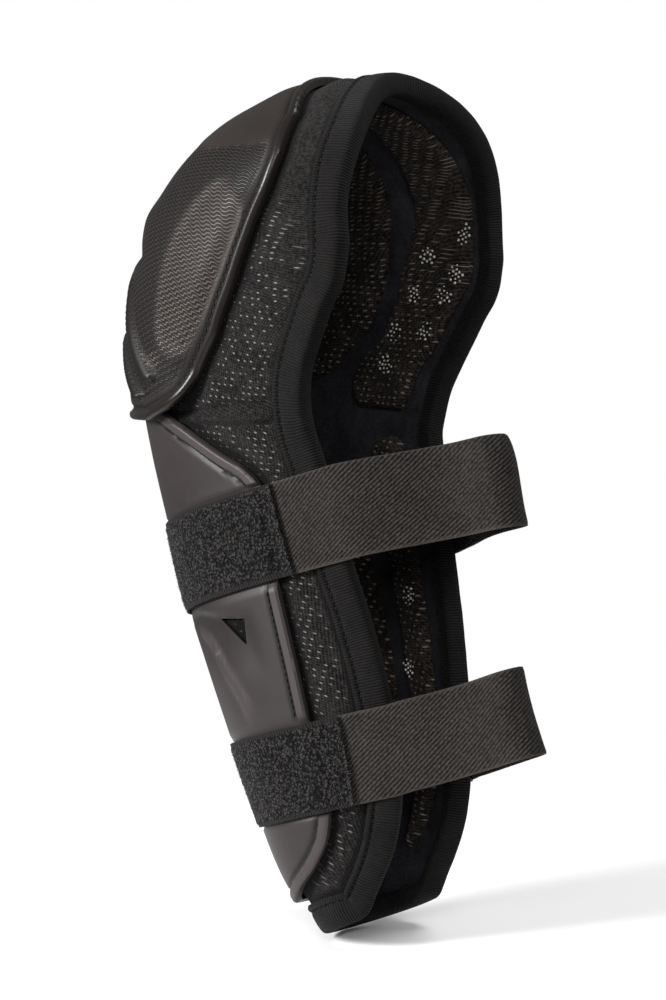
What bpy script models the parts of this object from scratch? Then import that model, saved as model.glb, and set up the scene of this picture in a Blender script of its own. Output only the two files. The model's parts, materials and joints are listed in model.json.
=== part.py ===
"""A knee and shin guard in its worn form: a padded body round a bent knee and a shin,
a moulded knee cap, a moulded shin plate, and two elastic straps fastened on loop tape.

Metres, +Z up. The origin is the centre of the knee inside the guard. The front of the knee
faces -Y, the open back faces +Y, and the wearer's left is +X.

Every piece is a layer on one guide surface. A place on it has two shares: down, from 0 at the
top arch to 1 at the bottom edge, and across, from 0 at the front centre line to 1 at a wing's
edge (-1 at the other wing's). A layer's lift is its distance out from the guide surface.
"""

import math

import bmesh
import bpy
import numpy as np
from mathutils import Matrix, Vector

COLLECTION = "knee_guard"

# Overall form
GUARD_HEIGHT = 0.390
WRAP_DEPTH = 0.129
KNEE_HALF_WIDTH = 0.061

# Padded body
BODY_WALL = 0.0070
EDGE_DIP = 0.0015
EDGE_TAPER = 0.0120
CREASE_DOWN = 0.512
CREASE_DEPTH = 0.0025
CREASE_HALF_WIDTH = 0.0070
CREASE_START = 0.45
CREASE_FADE = 0.10

# Edge binding
BINDING_WIDTH = 0.0130
BINDING_INNER_WIDTH = 0.0065
BINDING_THICKNESS = 0.0012
BINDING_STEP = 0.0225
BINDING_TURN = math.radians(26)

# Knee cap
CAP_THICKNESS = 0.0026
CAP_RIM_WIDTH = 0.0040
CAP_RIM_RAISE = 0.0010
CAP_RISE_WIDTH = 0.0180
CAP_LIP_LIFT = 0.0062
CAP_LIP_START = 0.445
CAP_LIP_RUN = 0.055
CLAW_HALF_WIDTH = 0.0028
CLAW_HEIGHT = 0.0020
CLAW_SINK = 0.0006
NOSE_HEIGHT = 0.0018

# Shin plate
PLATE_THICKNESS = 0.0026
PLATE_BORDER_WIDTH = 0.0045
PLATE_BORDER_RAISE = 0.0011
CHANNEL_DEPTH = 0.0009
SCOOP_DEPTH = 0.0012
VENT_RADIUS = 0.0052

# Straps, loop tapes and hook tabs
STRAP_WIDTH = 0.0400
STRAP_THICKNESS = 0.0016
TAPE_THICKNESS = 0.0018
TAB_THICKNESS = 0.0012
STRAP_BEND_RADIUS = 0.0080
UPPER_STRAP_REAR = 0.1160
LOWER_STRAP_REAR = 0.0954
UPPER_STRAP_DROP = 0.0030
LOWER_STRAP_DROP = -0.0035
STRAP_PULL = 0.35

# Liner pads
LINER_PAD_HEIGHT = 0.0048
LINER_PAD_EDGE = 0.0012

# Clearances
LAYER_GAP = 0.0005
SEAT_GAP = 0.0009
FOLD_GAP = 0.0011
STEP_WIDTH = 0.0015
BORDER_MARGIN = 1.01

# Lengths here are shares of the named sizes: front_y and edge_depth of WRAP_DEPTH, front_z of
# GUARD_HEIGHT, and half_width, nose, edge_half_width and bow of KNEE_HALF_WIDTH. The fan is the
# section's tilt in degrees, from nearly upright over the thigh to square with the shin.
SECTION_COLUMNS = (
    "front_y", "front_z", "fan", "half_width", "nose", "edge_half_width", "edge_depth", "bow",
)
SECTIONS = (
    (0.667, 0.250, -82, 0.985, 1.147, 0.985, 0.619, 0.130),
    (0.464, 0.248, -68, 1.000, 1.031, 0.985, 0.737, 0.100),
    (0.242, 0.231, -56, 1.000, 0.984, 0.985, 0.844, 0.065),
    (0.026, 0.200, -45, 1.000, 0.951, 0.985, 0.922, 0.035),
    (-0.179, 0.144, -35, 1.000, 0.969, 0.965, 0.992, 0.000),
    (-0.320, 0.065, -26, 1.000, 0.965, 0.935, 1.000, 0.000),
    (-0.390, -0.020, -15, 0.985, 0.950, 0.900, 0.975, 0.000),
    (-0.385, -0.105, -6, 0.950, 0.935, 0.850, 0.930, 0.000),
    (-0.345, -0.185, 5, 0.900, 0.900, 0.805, 0.890, 0.000),
    (-0.265, -0.280, 16, 0.850, 0.850, 0.755, 0.875, 0.000),
    (-0.185, -0.365, 16, 0.820, 0.820, 0.670, 0.860, 0.000),
    (-0.045, -0.475, 16, 0.770, 0.770, 0.540, 0.815, 0.000),
    (0.110, -0.590, 16, 0.705, 0.705, 0.445, 0.720, 0.000),
    (0.240, -0.675, 18, 0.640, 0.625, 0.425, 0.565, 0.000),
    (0.405, -0.740, 24, 0.520, 0.400, 0.440, 0.290, 0.000),
)

# Outlines: down, and the half width across at that place, both shares of the guide surface.
CAP_OUTLINE = (
    (0.090, 0.43), (0.120, 0.57), (0.164, 0.641), (0.254, 0.705), (0.320, 0.724),
    (0.376, 0.722), (0.430, 0.695), (0.473, 0.650), (0.505, 0.580), (0.527, 0.470),
)
PLATE_OUTLINE = (
    (0.470, 0.30), (0.500, 0.42), (0.519, 0.50), (0.540, 0.575), (0.563, 0.638),
    (0.590, 0.710), (0.614, 0.770), (0.642, 0.805), (0.680, 0.795), (0.724, 0.773),
    (0.780, 0.748), (0.832, 0.735), (0.881, 0.745), (0.905, 0.725), (0.928, 0.655),
    (0.945, 0.540), (0.960, 0.380),
)
# The dome's lift off the body: down, lift as a share of CAP_LIP_LIFT.
CAP_DOME = (
    (0.09, 0.40), (0.16, 0.45), (0.24, 0.85), (0.32, 1.10), (0.40, 0.90), (0.53, 1.00),
)

# Tapes and straps: down at the centre line of the band.
UPPER_BAND_DOWN = 0.681
LOWER_BAND_DOWN = 0.850
TAPE_END = 0.845
STRAP_START = 0.825
TAB_ENDS = (0.50, 0.80)
FAR_STRAP_END = 0.56
CLIMB_START = 0.975
CLIMB_END = 0.853
OVER_TAB_START = 0.815

# Claw ribs on one side of the cap: down and across at each end, and a waist between.
CLAWS = (
    ((0.385, 0.290), (0.425, 0.405), (0.478, 0.530)),
    ((0.365, 0.400), (0.405, 0.500), (0.448, 0.590)),
)
NOSE_CENTRE_DOWN = 0.325
NOSE_HALF_LENGTH = 0.055
NOSE_HALF_WIDTH = 0.24

# Vent holes and scoops in the plate, the same on both sides.
VENT_PLACE = (0.747, 0.535)
SCOOP_PLACE = (0.760, 0.440)
SCOOP_REACH = (0.030, 0.160)

# Liner pads: down, and where the pad starts and ends across.
KNEE_PAD = (
    (0.155, -0.24, 0.24), (0.173, -0.36, 0.36), (0.199, -0.47, 0.47), (0.230, -0.56, 0.56),
    (0.268, -0.63, 0.63), (0.310, -0.67, 0.67), (0.356, -0.67, 0.67), (0.415, -0.62, 0.62),
    (0.454, -0.56, 0.56), (0.480, -0.45, 0.45),
)
SIDE_PAD = (
    (0.060, 0.05, 0.68), (0.075, 0.04, 0.76), (0.095, 0.05, 0.84), (0.118, 0.22, 0.890),
    (0.148, 0.44, 0.915), (0.190, 0.62, 0.925), (0.225, 0.665, 0.930), (0.265, 0.700, 0.930),
    (0.310, 0.730, 0.930), (0.350, 0.735, 0.925), (0.385, 0.720, 0.915), (0.430, 0.675, 0.905),
    (0.470, 0.650, 0.895), (0.505, 0.670, 0.860),
)
SHIN_PAD = (
    (0.590, -0.34, 0.34), (0.605, -0.50, 0.50), (0.640, -0.60, 0.60), (0.700, -0.64, 0.64),
    (0.760, -0.65, 0.65), (0.820, -0.63, 0.63), (0.860, -0.54, 0.54), (0.880, -0.40, 0.40),
)
CALF_PAD = (
    (0.570, 0.77, 0.84), (0.585, 0.74, 0.880), (0.640, 0.735, 0.890), (0.700, 0.740, 0.890),
    (0.760, 0.740, 0.885), (0.820, 0.725, 0.875), (0.870, 0.690, 0.845), (0.910, 0.630, 0.780),
    (0.930, 0.590, 0.700), (0.940, 0.600, 0.640),
)

# Material: linear colour, roughness, metallic.
FINISHES = {
    "knit_mesh": ((0.030, 0.026, 0.023), 0.90, 0.0),
    "binding_tape": ((0.024, 0.021, 0.019), 0.85, 0.0),
    "cap_moulding": ((0.065, 0.052, 0.048), 0.42, 0.0),
    "plate_moulding": ((0.100, 0.086, 0.086), 0.45, 0.0),
    "loop_pile": ((0.028, 0.026, 0.025), 0.95, 0.0),
    "elastic_web": ((0.042, 0.035, 0.033), 0.85, 0.0),
    "hook_moulding": ((0.020, 0.019, 0.019), 0.55, 0.0),
    "liner_mesh": ((0.022, 0.018, 0.015), 0.90, 0.0),
}


def smooth(x):
    """A soft step from 0 to 1 while x goes from 0 to 1."""
    x = min(max(x, 0.0), 1.0)
    return x * x * (3.0 - 2.0 * x)


def lookup(table, place, column=1):
    """A value read from a table by straight lines between its rows."""
    return float(np.interp(place, [row[0] for row in table], [row[column] for row in table]))


def sized_sections():
    """The section table in metres and degrees, in the order of its columns."""
    scale = (
        WRAP_DEPTH, GUARD_HEIGHT, 1.0, KNEE_HALF_WIDTH,
        KNEE_HALF_WIDTH, KNEE_HALF_WIDTH, WRAP_DEPTH, KNEE_HALF_WIDTH,
    )
    return np.array(SECTIONS, float) * np.array(scale)


SIZED = sized_sections()
SLOPES = np.gradient(SIZED, axis=0)


def section_at(down):
    """The section's values at a place down the guard, on a smooth curve through the rows."""
    place = down * (len(SIZED) - 1)
    row = int(min(max(math.floor(place), 0), len(SIZED) - 2))
    part = place - row
    start = 2 * part**3 - 3 * part**2 + 1
    leave = part**3 - 2 * part**2 + part
    arrive = part**3 - part**2
    values = start * SIZED[row] + leave * SLOPES[row]
    values += (1 - start) * SIZED[row + 1] + arrive * SLOPES[row + 1]
    return dict(zip(SECTION_COLUMNS, values))


def arc_length(section):
    return math.pi / 4 * (section["half_width"] + section["nose"])


def side_length(section):
    reach = section["edge_depth"] - section["nose"]
    return max(math.hypot(section["edge_half_width"] - section["half_width"], reach), 1e-4)


def flat_section(section, across):
    """Half width and depth on the section: a quarter ellipse at the front, then a wing."""
    arc = arc_length(section)
    side = side_length(section)
    run = across * (arc + side)
    half, nose = section["half_width"], section["nose"]
    if run <= arc:
        turn = run / arc * math.pi / 2
        return half * math.sin(turn), nose * (1 - math.cos(turn))
    part = (run - arc) / side
    reach = section["edge_depth"] - nose
    x = half * (1 - part**2) + section["edge_half_width"] * part**2
    depth = nose * (1 - part) ** 2 + 2 * part * (1 - part) * (nose + reach / 2)
    return x, depth + section["edge_depth"] * part**2


def place_in_section(section, x, depth, bow=0.0):
    """World place of a point that lies x aside and depth back in a tilted section."""
    tilt = math.radians(section["fan"])
    y = section["front_y"] + depth * math.cos(tilt) - bow * math.sin(tilt)
    z = section["front_z"] + depth * math.sin(tilt) + bow * math.cos(tilt)
    return np.array((x, y, z))


def guide_point(down, across):
    section = section_at(down)
    x, depth = flat_section(section, abs(across))
    bow = section["bow"] * math.sin(math.pi * across) ** 2
    return place_in_section(section, math.copysign(x, across), depth, bow)


def slopes_at(down, across):
    """The guide surface's change per share down and per share across."""
    step = 1e-3
    above, below = max(down - step, 0.0), min(down + step, 1.0)
    near, far = max(across - step, -1.0), min(across + step, 1.0)
    down_slope = (guide_point(below, across) - guide_point(above, across)) / (below - above)
    across_slope = (guide_point(down, far) - guide_point(down, near)) / (far - near)
    return down_slope, across_slope


def normal_at(down, across):
    down_slope, across_slope = slopes_at(down, across)
    normal = np.cross(down_slope, across_slope)
    return normal / np.linalg.norm(normal)


def on_guard(down, across, lift):
    return guide_point(down, across) + lift * normal_at(down, across)


def share_down(down, across, length):
    return length / np.linalg.norm(slopes_at(down, across)[0])


def share_across(down, length):
    section = section_at(down)
    return length / (arc_length(section) + side_length(section))


def border_places(side_steps, end_steps):
    """Places round the whole edge of the guard, in order, each once."""
    sides = np.linspace(0.0, 1.0, side_steps + 1)[:-1]
    ends = np.linspace(-1.0, 1.0, end_steps + 1)[:-1]
    places = [(down, 1.0) for down in sides]
    places += [(1.0, -across) for across in ends]
    places += [(1.0 - down, -1.0) for down in sides]
    places += [(0.0, across) for across in ends]
    return places


BORDER = np.array([guide_point(*place) for place in border_places(90, 60)])


def edge_distance(down, across):
    gaps = BORDER - guide_point(down, across)
    return float(np.sqrt((gaps**2).sum(axis=1).min()))


def body_outer(down, across):
    """Lift of the body's outer face: lower at the edge and in the crease below the knee."""
    inset = edge_distance(down, across) - BINDING_WIDTH - STEP_WIDTH
    lift = -EDGE_DIP * (1 - smooth(inset / EDGE_TAPER))
    crease = (down - CREASE_DOWN) / share_down(down, across, CREASE_HALF_WIDTH)
    beside_plate = smooth((abs(across) - CREASE_START) / CREASE_FADE)
    fade = beside_plate * smooth(inset / EDGE_TAPER)
    return lift - CREASE_DEPTH * math.exp(-crease * crease) * fade


def body_inner(down, across):
    return -BODY_WALL


def new_object(name, shape, material):
    bmesh.ops.recalc_face_normals(shape, faces=shape.faces)
    if shape.calc_volume(signed=True) < 0:
        bmesh.ops.reverse_faces(shape, faces=shape.faces)
    mesh = bpy.data.meshes.new(name)
    shape.to_mesh(mesh)
    shape.free()
    mesh.shade_smooth()
    mesh.set_sharp_from_angle(angle=math.radians(50))
    piece = bpy.data.objects.new(name, mesh)
    piece.data.materials.append(bpy.data.materials[material])
    bpy.data.collections[COLLECTION].objects.link(piece)
    return piece


def slab(name, outer, inner, material):
    """A closed layer: a grid shaped as the outer face, extruded to the inner face."""
    rows, columns = len(outer), len(outer[0])
    shape = bmesh.new()
    bmesh.ops.create_grid(shape, x_segments=columns - 1, y_segments=rows - 1, size=1.0)
    shape.verts.ensure_lookup_table()
    grid = sorted(shape.verts, key=lambda vert: (round(vert.co.y, 5), round(vert.co.x, 5)))
    order = {vert: index for index, vert in enumerate(grid)}
    faces = [[order[vert] for vert in face.verts] for face in shape.faces]
    shape.clear()
    outside = [shape.verts.new(point) for row in outer for point in row]
    for face in faces:
        shape.faces.new([outside[index] for index in face])
    made = bmesh.ops.extrude_face_region(shape, geom=shape.faces[:], use_keep_orig=True)
    inside = [point for row in inner for point in row]
    places = {tuple(vert.co): point for vert, point in zip(outside, inside)}
    for item in made["geom"]:
        if isinstance(item, bmesh.types.BMVert):
            item.co = places[tuple(item.co)]
    return new_object(name, shape, material)


def layer(name, downs, acrosses, outer_lift, inner_lift, material):
    """A slab whose faces lie at two lifts; acrosses gives the places across for each row."""
    outer = [[on_guard(d, a, outer_lift(d, a)) for a in acrosses(d)] for d in downs]
    inner = [[on_guard(d, a, inner_lift(d, a)) for a in acrosses(d)] for d in downs]
    return slab(name, outer, inner, material)


def make_body():
    downs = [0.0, 0.02, 0.045, 0.075]
    downs += list(np.linspace(0.105, CREASE_DOWN - 0.025, 11))
    downs += [CREASE_DOWN, CREASE_DOWN + 0.025]
    downs += list(np.linspace(CREASE_DOWN + 0.058, 0.94, 12))
    downs += [0.965, 0.984, 1.0]
    halves = [0.0, 0.09, 0.18, 0.27, 0.36, 0.45, 0.54, 0.63, 0.73, 0.83, 0.915, 1.0]
    across = [-a for a in halves[:0:-1]] + halves
    return layer("padded_body", downs, lambda d: across, body_outer, body_inner, "knit_mesh")


def nearest_place(target, down, across):
    """The place on the guide surface nearest to a point, starting from a place close by."""
    for _ in range(6):
        slopes = np.stack(slopes_at(down, across), axis=1)
        move = np.linalg.lstsq(slopes, target - guide_point(down, across), rcond=None)[0]
        down = min(max(down + min(max(move[0], -0.05), 0.05), 0.0), 1.0)
        across = min(max(across + min(max(move[1], -0.05), 0.05), -1.0), 1.0)
    return down, across


def walk_in(down, across, direction, distance, steps=4):
    """The place reached by walking over the guide surface in one direction."""
    start = guide_point(down, across)
    for step in range(1, steps + 1):
        down, across = nearest_place(start + direction * distance * step / steps, down, across)
    return down, across


def binding_stations():
    """Places round the edge, a step of length or a step of turning apart, whichever adds up first."""
    places = border_places(150, 90)
    points = np.array([guide_point(*place) for place in places])
    legs = np.roll(points, -1, axis=0) - points
    lengths = np.linalg.norm(legs, axis=1)
    legs /= lengths[:, None]
    turns = np.arccos(np.clip((legs * np.roll(legs, 1, axis=0)).sum(axis=1), -1.0, 1.0))
    spent = np.cumsum(lengths / BINDING_STEP + turns / BINDING_TURN)
    count = int(round(spent[-1]))
    marks = (np.arange(count) + 0.5) / count * spent[-1]
    return [places[index] for index in np.unique(np.searchsorted(spent, marks))]


def make_binding():
    """A U of tape folded over the edge, as one closed ring."""
    places = binding_stations()
    points = [guide_point(*place) for place in places]
    top = -EDGE_DIP + FOLD_GAP
    bottom = -BODY_WALL - FOLD_GAP
    thick = BINDING_THICKNESS
    middle = (top + bottom) / 2
    # In from the edge, then lift: outer leg, web, inner leg, and back inside the fold.
    profile = (
        (BINDING_WIDTH, top + thick), (0.0, top + thick),
        (-FOLD_GAP - thick, middle + thick), (-FOLD_GAP - thick, middle - thick),
        (0.0, bottom - thick), (BINDING_INNER_WIDTH, bottom - thick),
        (BINDING_INNER_WIDTH, bottom), (-FOLD_GAP, bottom), (-FOLD_GAP, top), (BINDING_WIDTH, top),
    )
    bpy.ops.mesh.primitive_torus_add(major_segments=len(places), minor_segments=len(profile))
    ring = bpy.context.object
    ring.name = "edge_binding"
    ring.data.name = "edge_binding"
    for index, place in enumerate(places):
        along = points[(index + 1) % len(points)] - points[index - 1]
        along /= np.linalg.norm(along)
        normal = normal_at(*place)
        inward = np.cross(normal, along)
        inside = guide_point(*inner_neighbour(*place)) - points[index]
        inward *= math.copysign(1.0, float(inward @ inside))
        for corner, (inset, lift) in enumerate(profile):
            if inset > 0:
                where = walk_in(*place, inward, inset)
                spot = on_guard(*where, lift)
            else:
                spot = points[index] + inset * inward + lift * normal
            ring.data.vertices[index * len(profile) + corner].co = spot
    shape = bmesh.new()
    shape.from_mesh(ring.data)
    bpy.data.objects.remove(ring)
    return new_object("edge_binding", shape, "binding_tape")


def inner_neighbour(down, across):
    return 0.5 + (down - 0.5) * 0.9, across * 0.9


def cap_half_width(down):
    return lookup(CAP_OUTLINE, down)


def cap_inner(down, across):
    """The shell's lift off the body: seated at its sides and top, standing off at its lip."""
    first = CAP_OUTLINE[0][0]
    from_side = (cap_half_width(down) - abs(across)) / share_across(down, 1.0)
    from_top = (down - first) / share_down(down, across, 1.0)
    inset = min(from_side, from_top)
    seat = SEAT_GAP + (CAP_LIP_LIFT - SEAT_GAP) * smooth((down - CAP_LIP_START) / CAP_LIP_RUN)
    dome = max(lookup(CAP_DOME, down) * CAP_LIP_LIFT, seat)
    return seat + (dome - seat) * smooth(inset / CAP_RISE_WIDTH)


def cap_bead(down, across):
    """1 on the raised rim round the cap's edge, else 0."""
    first, last = CAP_OUTLINE[0][0], CAP_OUTLINE[-1][0]
    from_side = (cap_half_width(down) - abs(across)) / share_across(down, 1.0)
    from_top = (down - first) / share_down(down, across, 1.0)
    from_lip = (last - down) / share_down(down, across, 1.0)
    return float(min(from_side, from_top, from_lip) < CAP_RIM_WIDTH * BORDER_MARGIN)


def cap_nose(down, across):
    """1 at the crest of the smooth swelling at the cap's front, 0 outside its lens."""
    reach_down = (down - NOSE_CENTRE_DOWN) / NOSE_HALF_LENGTH
    reach_across = across / NOSE_HALF_WIDTH
    return smooth(1 - math.hypot(reach_down, reach_across))


def cap_outer(down, across):
    raised = CAP_RIM_RAISE * cap_bead(down, across) + NOSE_HEIGHT * cap_nose(down, across)
    return cap_inner(down, across) + CAP_THICKNESS + raised


def banded_places(half, down, width, inner_count):
    """Places across, with lines at both sides' borders of the given width."""
    border = share_across(down, width)
    step = share_across(down, STEP_WIDTH)
    inner = half - border - step
    middle = list(np.linspace(-inner, inner, inner_count))
    return [-half, -half + border] + middle + [half - border, half]


def make_cap():
    first, last = CAP_OUTLINE[0][0], CAP_OUTLINE[-1][0]
    rim_top = share_down(first, 0.0, CAP_RIM_WIDTH)
    rim_lip = share_down(last, 0.0, CAP_RIM_WIDTH)
    step = share_down(last, 0.0, STEP_WIDTH)
    downs = [first, first + rim_top]
    downs += list(np.linspace(first + rim_top + step, last - rim_lip - step, 13))
    downs += [last - rim_lip, last]
    cap = layer(
        "knee_cap", downs,
        lambda d: banded_places(cap_half_width(d), d, CAP_RIM_WIDTH, 16),
        cap_outer, cap_inner, "cap_moulding",
    )
    for side in (1, -1):
        for number, claw in enumerate(CLAWS):
            join(cap, make_claw(f"claw_{side}_{number}", claw, side))
    return cap


def make_claw(name, claw, side):
    """A tapered rib sunk half its shell's thickness into the cap."""
    steps = np.linspace(0.0, 1.0, 5)
    starts, waist, ends = (np.array(place) for place in claw)
    outer, inner = [], []
    for step in steps:
        curve = (1 - step) ** 2 * starts + 2 * step * (1 - step) * waist + step**2 * ends
        half = CLAW_HALF_WIDTH * (0.35 + 0.65 * step)
        turn = share_down(curve[0], curve[1], half * 0.7)
        spread = share_across(curve[0], half * 0.7)
        row_out, row_in = [], []
        for edge in (-1, -0.4, 0.4, 1):
            down, across = curve[0] - edge * turn, (curve[1] + edge * spread)
            height = (CLAW_HEIGHT + CLAW_SINK) * (1 - edge * edge) * (0.4 + 0.6 * step)
            lift = cap_inner(down, across) + CAP_THICKNESS - CLAW_SINK
            row_out.append(on_guard(down, side * across, lift + height))
            row_in.append(on_guard(down, side * across, lift - CAP_THICKNESS / 2))
        outer.append(row_out)
        inner.append(row_in)
    return slab(name, outer, inner, "cap_moulding")


def join(piece, added):
    """Adds one solid to another and leaves the added one out of the render."""
    union = piece.modifiers.new("join_" + added.name, "BOOLEAN")
    union.operation = "UNION"
    union.solver = "EXACT"
    union.object = added
    helper(added)


def helper(piece):
    bpy.data.collections[COLLECTION].objects.unlink(piece)
    bpy.data.collections["cutters"].objects.link(piece)
    piece.hide_render = True
    piece.display_type = "WIRE"


def band_ends(centre):
    """The places down where a strap's two edges lie."""
    half = share_down(centre, 0.5, STRAP_WIDTH / 2)
    return centre - half, centre + half


def channel(down):
    """1 inside a tape's channel in the plate, 0 outside it."""
    for centre in (UPPER_BAND_DOWN, LOWER_BAND_DOWN):
        top, bottom = band_ends(centre)
        margin = share_down(centre, 0.5, STEP_WIDTH)
        reach = margin * BORDER_MARGIN
        if top - reach <= down <= bottom + reach:
            return 1.0
    return 0.0


def plate_half_width(down):
    return lookup(PLATE_OUTLINE, down)


def plate_outer(down, across):
    lift = SEAT_GAP + PLATE_THICKNESS
    from_side = (plate_half_width(down) - abs(across)) / share_across(down, 1.0)
    under_cap = down < CAP_OUTLINE[-1][0]
    if channel(down):
        return lift - CHANNEL_DEPTH
    if from_side < PLATE_BORDER_WIDTH * BORDER_MARGIN and not under_cap:
        return lift + PLATE_BORDER_RAISE
    reach_down = (down - SCOOP_PLACE[0]) / SCOOP_REACH[0]
    reach_across = (abs(across) - SCOOP_PLACE[1]) / SCOOP_REACH[1]
    sunk = smooth(1.0 - math.hypot(reach_down, reach_across))
    return lift - SCOOP_DEPTH * sunk


def plate_inner(down, across):
    return SEAT_GAP


def make_plate():
    downs = list(np.linspace(PLATE_OUTLINE[0][0], CAP_OUTLINE[-1][0] - 0.004, 4))
    start = CAP_OUTLINE[-1][0]
    for centre, rows in ((UPPER_BAND_DOWN, 6), (LOWER_BAND_DOWN, 5)):
        top, bottom = band_ends(centre)
        margin = share_down(centre, 0.5, STEP_WIDTH)
        downs += list(np.linspace(start, top - 2 * margin, rows))
        downs += list(np.linspace(top - margin, bottom + margin, 3))
        start = bottom + 2 * margin
    downs += list(np.linspace(start, PLATE_OUTLINE[-1][0], 6))
    plate = layer(
        "shin_plate", downs,
        lambda d: banded_places(plate_half_width(d), d, PLATE_BORDER_WIDTH, 19),
        plate_outer, plate_inner, "plate_moulding",
    )
    for side in (1, -1):
        cut_vent(plate, side)
    return plate


def cut_vent(plate, side):
    """A three-cornered hole right through the plate."""
    down, across = VENT_PLACE[0], side * VENT_PLACE[1]
    bpy.ops.mesh.primitive_cone_add(
        vertices=3, radius1=VENT_RADIUS, radius2=VENT_RADIUS, depth=8 * PLATE_THICKNESS,
    )
    cutter = bpy.context.object
    cutter.name = f"vent_cutter_{side}"
    for owner in list(cutter.users_collection):
        owner.objects.unlink(cutter)
    bpy.data.collections[COLLECTION].objects.link(cutter)
    normal = Vector(normal_at(down, across))
    downward = Vector(slopes_at(down, across)[0]).normalized()
    sideways = normal.cross(downward).normalized()
    turn = Matrix((sideways, normal.cross(sideways), normal)).transposed()
    cutter.matrix_world = Matrix.Translation(on_guard(down, across, 0.0)) @ turn.to_4x4()
    cut = plate.modifiers.new("vent", "BOOLEAN")
    cut.operation = "DIFFERENCE"
    cut.solver = "EXACT"
    cut.object = cutter
    helper(cutter)


STRAP_LIFT = FOLD_GAP - EDGE_DIP + BINDING_THICKNESS + LAYER_GAP
CHANNEL_FLOOR = SEAT_GAP + PLATE_THICKNESS - CHANNEL_DEPTH
TAPE_LIFT = max(CHANNEL_FLOOR, STRAP_LIFT + STRAP_THICKNESS) + LAYER_GAP
TAB_LIFT = TAPE_LIFT + TAPE_THICKNESS + LAYER_GAP
OVER_TAB_LIFT = TAB_LIFT + TAB_THICKNESS + LAYER_GAP


def make_tape(name, centre):
    downs = np.linspace(*band_ends(centre), 3)
    across = np.linspace(-TAPE_END, TAPE_END, 20)
    return layer(
        name, downs, lambda d: across,
        lambda d, a: TAPE_LIFT + TAPE_THICKNESS, lambda d, a: TAPE_LIFT, "loop_pile",
    )


def make_tab(name, centre):
    downs = np.linspace(*band_ends(centre), 3)
    across = np.linspace(-TAB_ENDS[1], -TAB_ENDS[0], 6)
    return layer(
        name, downs, lambda d: across,
        lambda d, a: TAB_LIFT + TAB_THICKNESS, lambda d, a: TAB_LIFT, "hook_moulding",
    )


def rear_path(down, lift, rear, drop):
    """Half of the loop behind the guard, from a wing's edge to the middle of its bend."""
    section = section_at(down)
    tilt = math.radians(section["fan"])
    along = section["front_y"] * math.cos(tilt) + section["front_z"] * math.sin(tilt)
    end_depth = rear - along - STRAP_BEND_RADIUS
    near = np.array(flat_section(section, 0.97))
    start = np.array(flat_section(section, 1.0))
    leave = (start - near) / np.linalg.norm(start - near)
    start = start + lift * np.array((leave[1], -leave[0]))
    radius = STRAP_BEND_RADIUS + lift
    finish = np.array((radius, end_depth))
    pull = STRAP_PULL * np.linalg.norm(finish - start)
    first = start + leave * pull
    second = finish - np.array((0.0, pull))
    path = []
    for step in np.linspace(0.0, 1.0, 9)[1:]:
        rest = 1 - step
        path.append(
            rest**3 * start + 3 * rest**2 * step * first
            + 3 * rest * step**2 * second + step**3 * finish
        )
    for turn in np.linspace(0.0, math.pi / 2, 5)[1:]:
        path.append(np.array((radius * math.cos(turn), end_depth + radius * math.sin(turn))))
    points = []
    for x, depth in path:
        back = (depth - start[1]) / (end_depth + radius - start[1])
        point = place_in_section(section, x, depth)
        point[2] -= drop * back**1.5
        points.append(point)
    return points


def far_strap_lift(across):
    """The far end climbs over the tape and the hook tab."""
    climb = smooth((CLIMB_START - abs(across)) / (CLIMB_START - CLIMB_END))
    return STRAP_LIFT + (OVER_TAB_LIFT - STRAP_LIFT) * climb


def strap_row(down, extra, rear, drop):
    near = [
        on_guard(down, across, STRAP_LIFT + extra)
        for across in np.linspace(STRAP_START, 1.0, 4)
    ]
    loop = rear_path(down, STRAP_LIFT + extra, rear, drop)
    mirrored = [point * np.array((-1, 1, 1)) for point in loop[-2::-1]]
    far = [
        on_guard(down, -across, far_strap_lift(across) + extra)
        for across in list(np.linspace(1.0, CLIMB_END, 7)) + list(
            np.linspace(OVER_TAB_START, FAR_STRAP_END, 5)
        )
    ]
    return near + loop + mirrored + far


def make_strap(name, centre, rear, drop):
    downs = np.linspace(*band_ends(centre), 3)
    outer = [strap_row(down, STRAP_THICKNESS, rear, drop) for down in downs]
    inner = [strap_row(down, 0.0, rear, drop) for down in downs]
    return slab(name, outer, inner, "elastic_web")


def make_liner_pad(name, table, side, columns):
    """A raised pad on the body's inner face, thin at its edge and full inside it."""
    base, crown = [], []
    last = len(table) - 1
    for number, (down, start, end) in enumerate(table):
        row_base, row_crown = [], []
        for part in np.linspace(0.0, 1.0, columns):
            across = side * (start + (end - start) * part)
            floor = -BODY_WALL - SEAT_GAP
            inner_place = 0 < part < 1 and 0 < number < last
            height = LINER_PAD_HEIGHT if inner_place else LINER_PAD_EDGE
            row_base.append(on_guard(down, across, floor))
            row_crown.append(on_guard(down, across, floor - height))
        base.append(row_base)
        crown.append(row_crown)
    return slab(name, base, crown, "liner_mesh")


def clear_scene():
    for item in list(bpy.data.objects):
        bpy.data.objects.remove(item, do_unlink=True)


def make_materials():
    for name, (colour, roughness, metallic) in FINISHES.items():
        material = bpy.data.materials.new(name)
        material.use_nodes = True
        shader = material.node_tree.nodes["Principled BSDF"]
        shader.inputs["Base Color"].default_value = (*colour, 1.0)
        shader.inputs["Roughness"].default_value = roughness
        shader.inputs["Metallic"].default_value = metallic
        material.diffuse_color = (*colour, 1.0)


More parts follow.
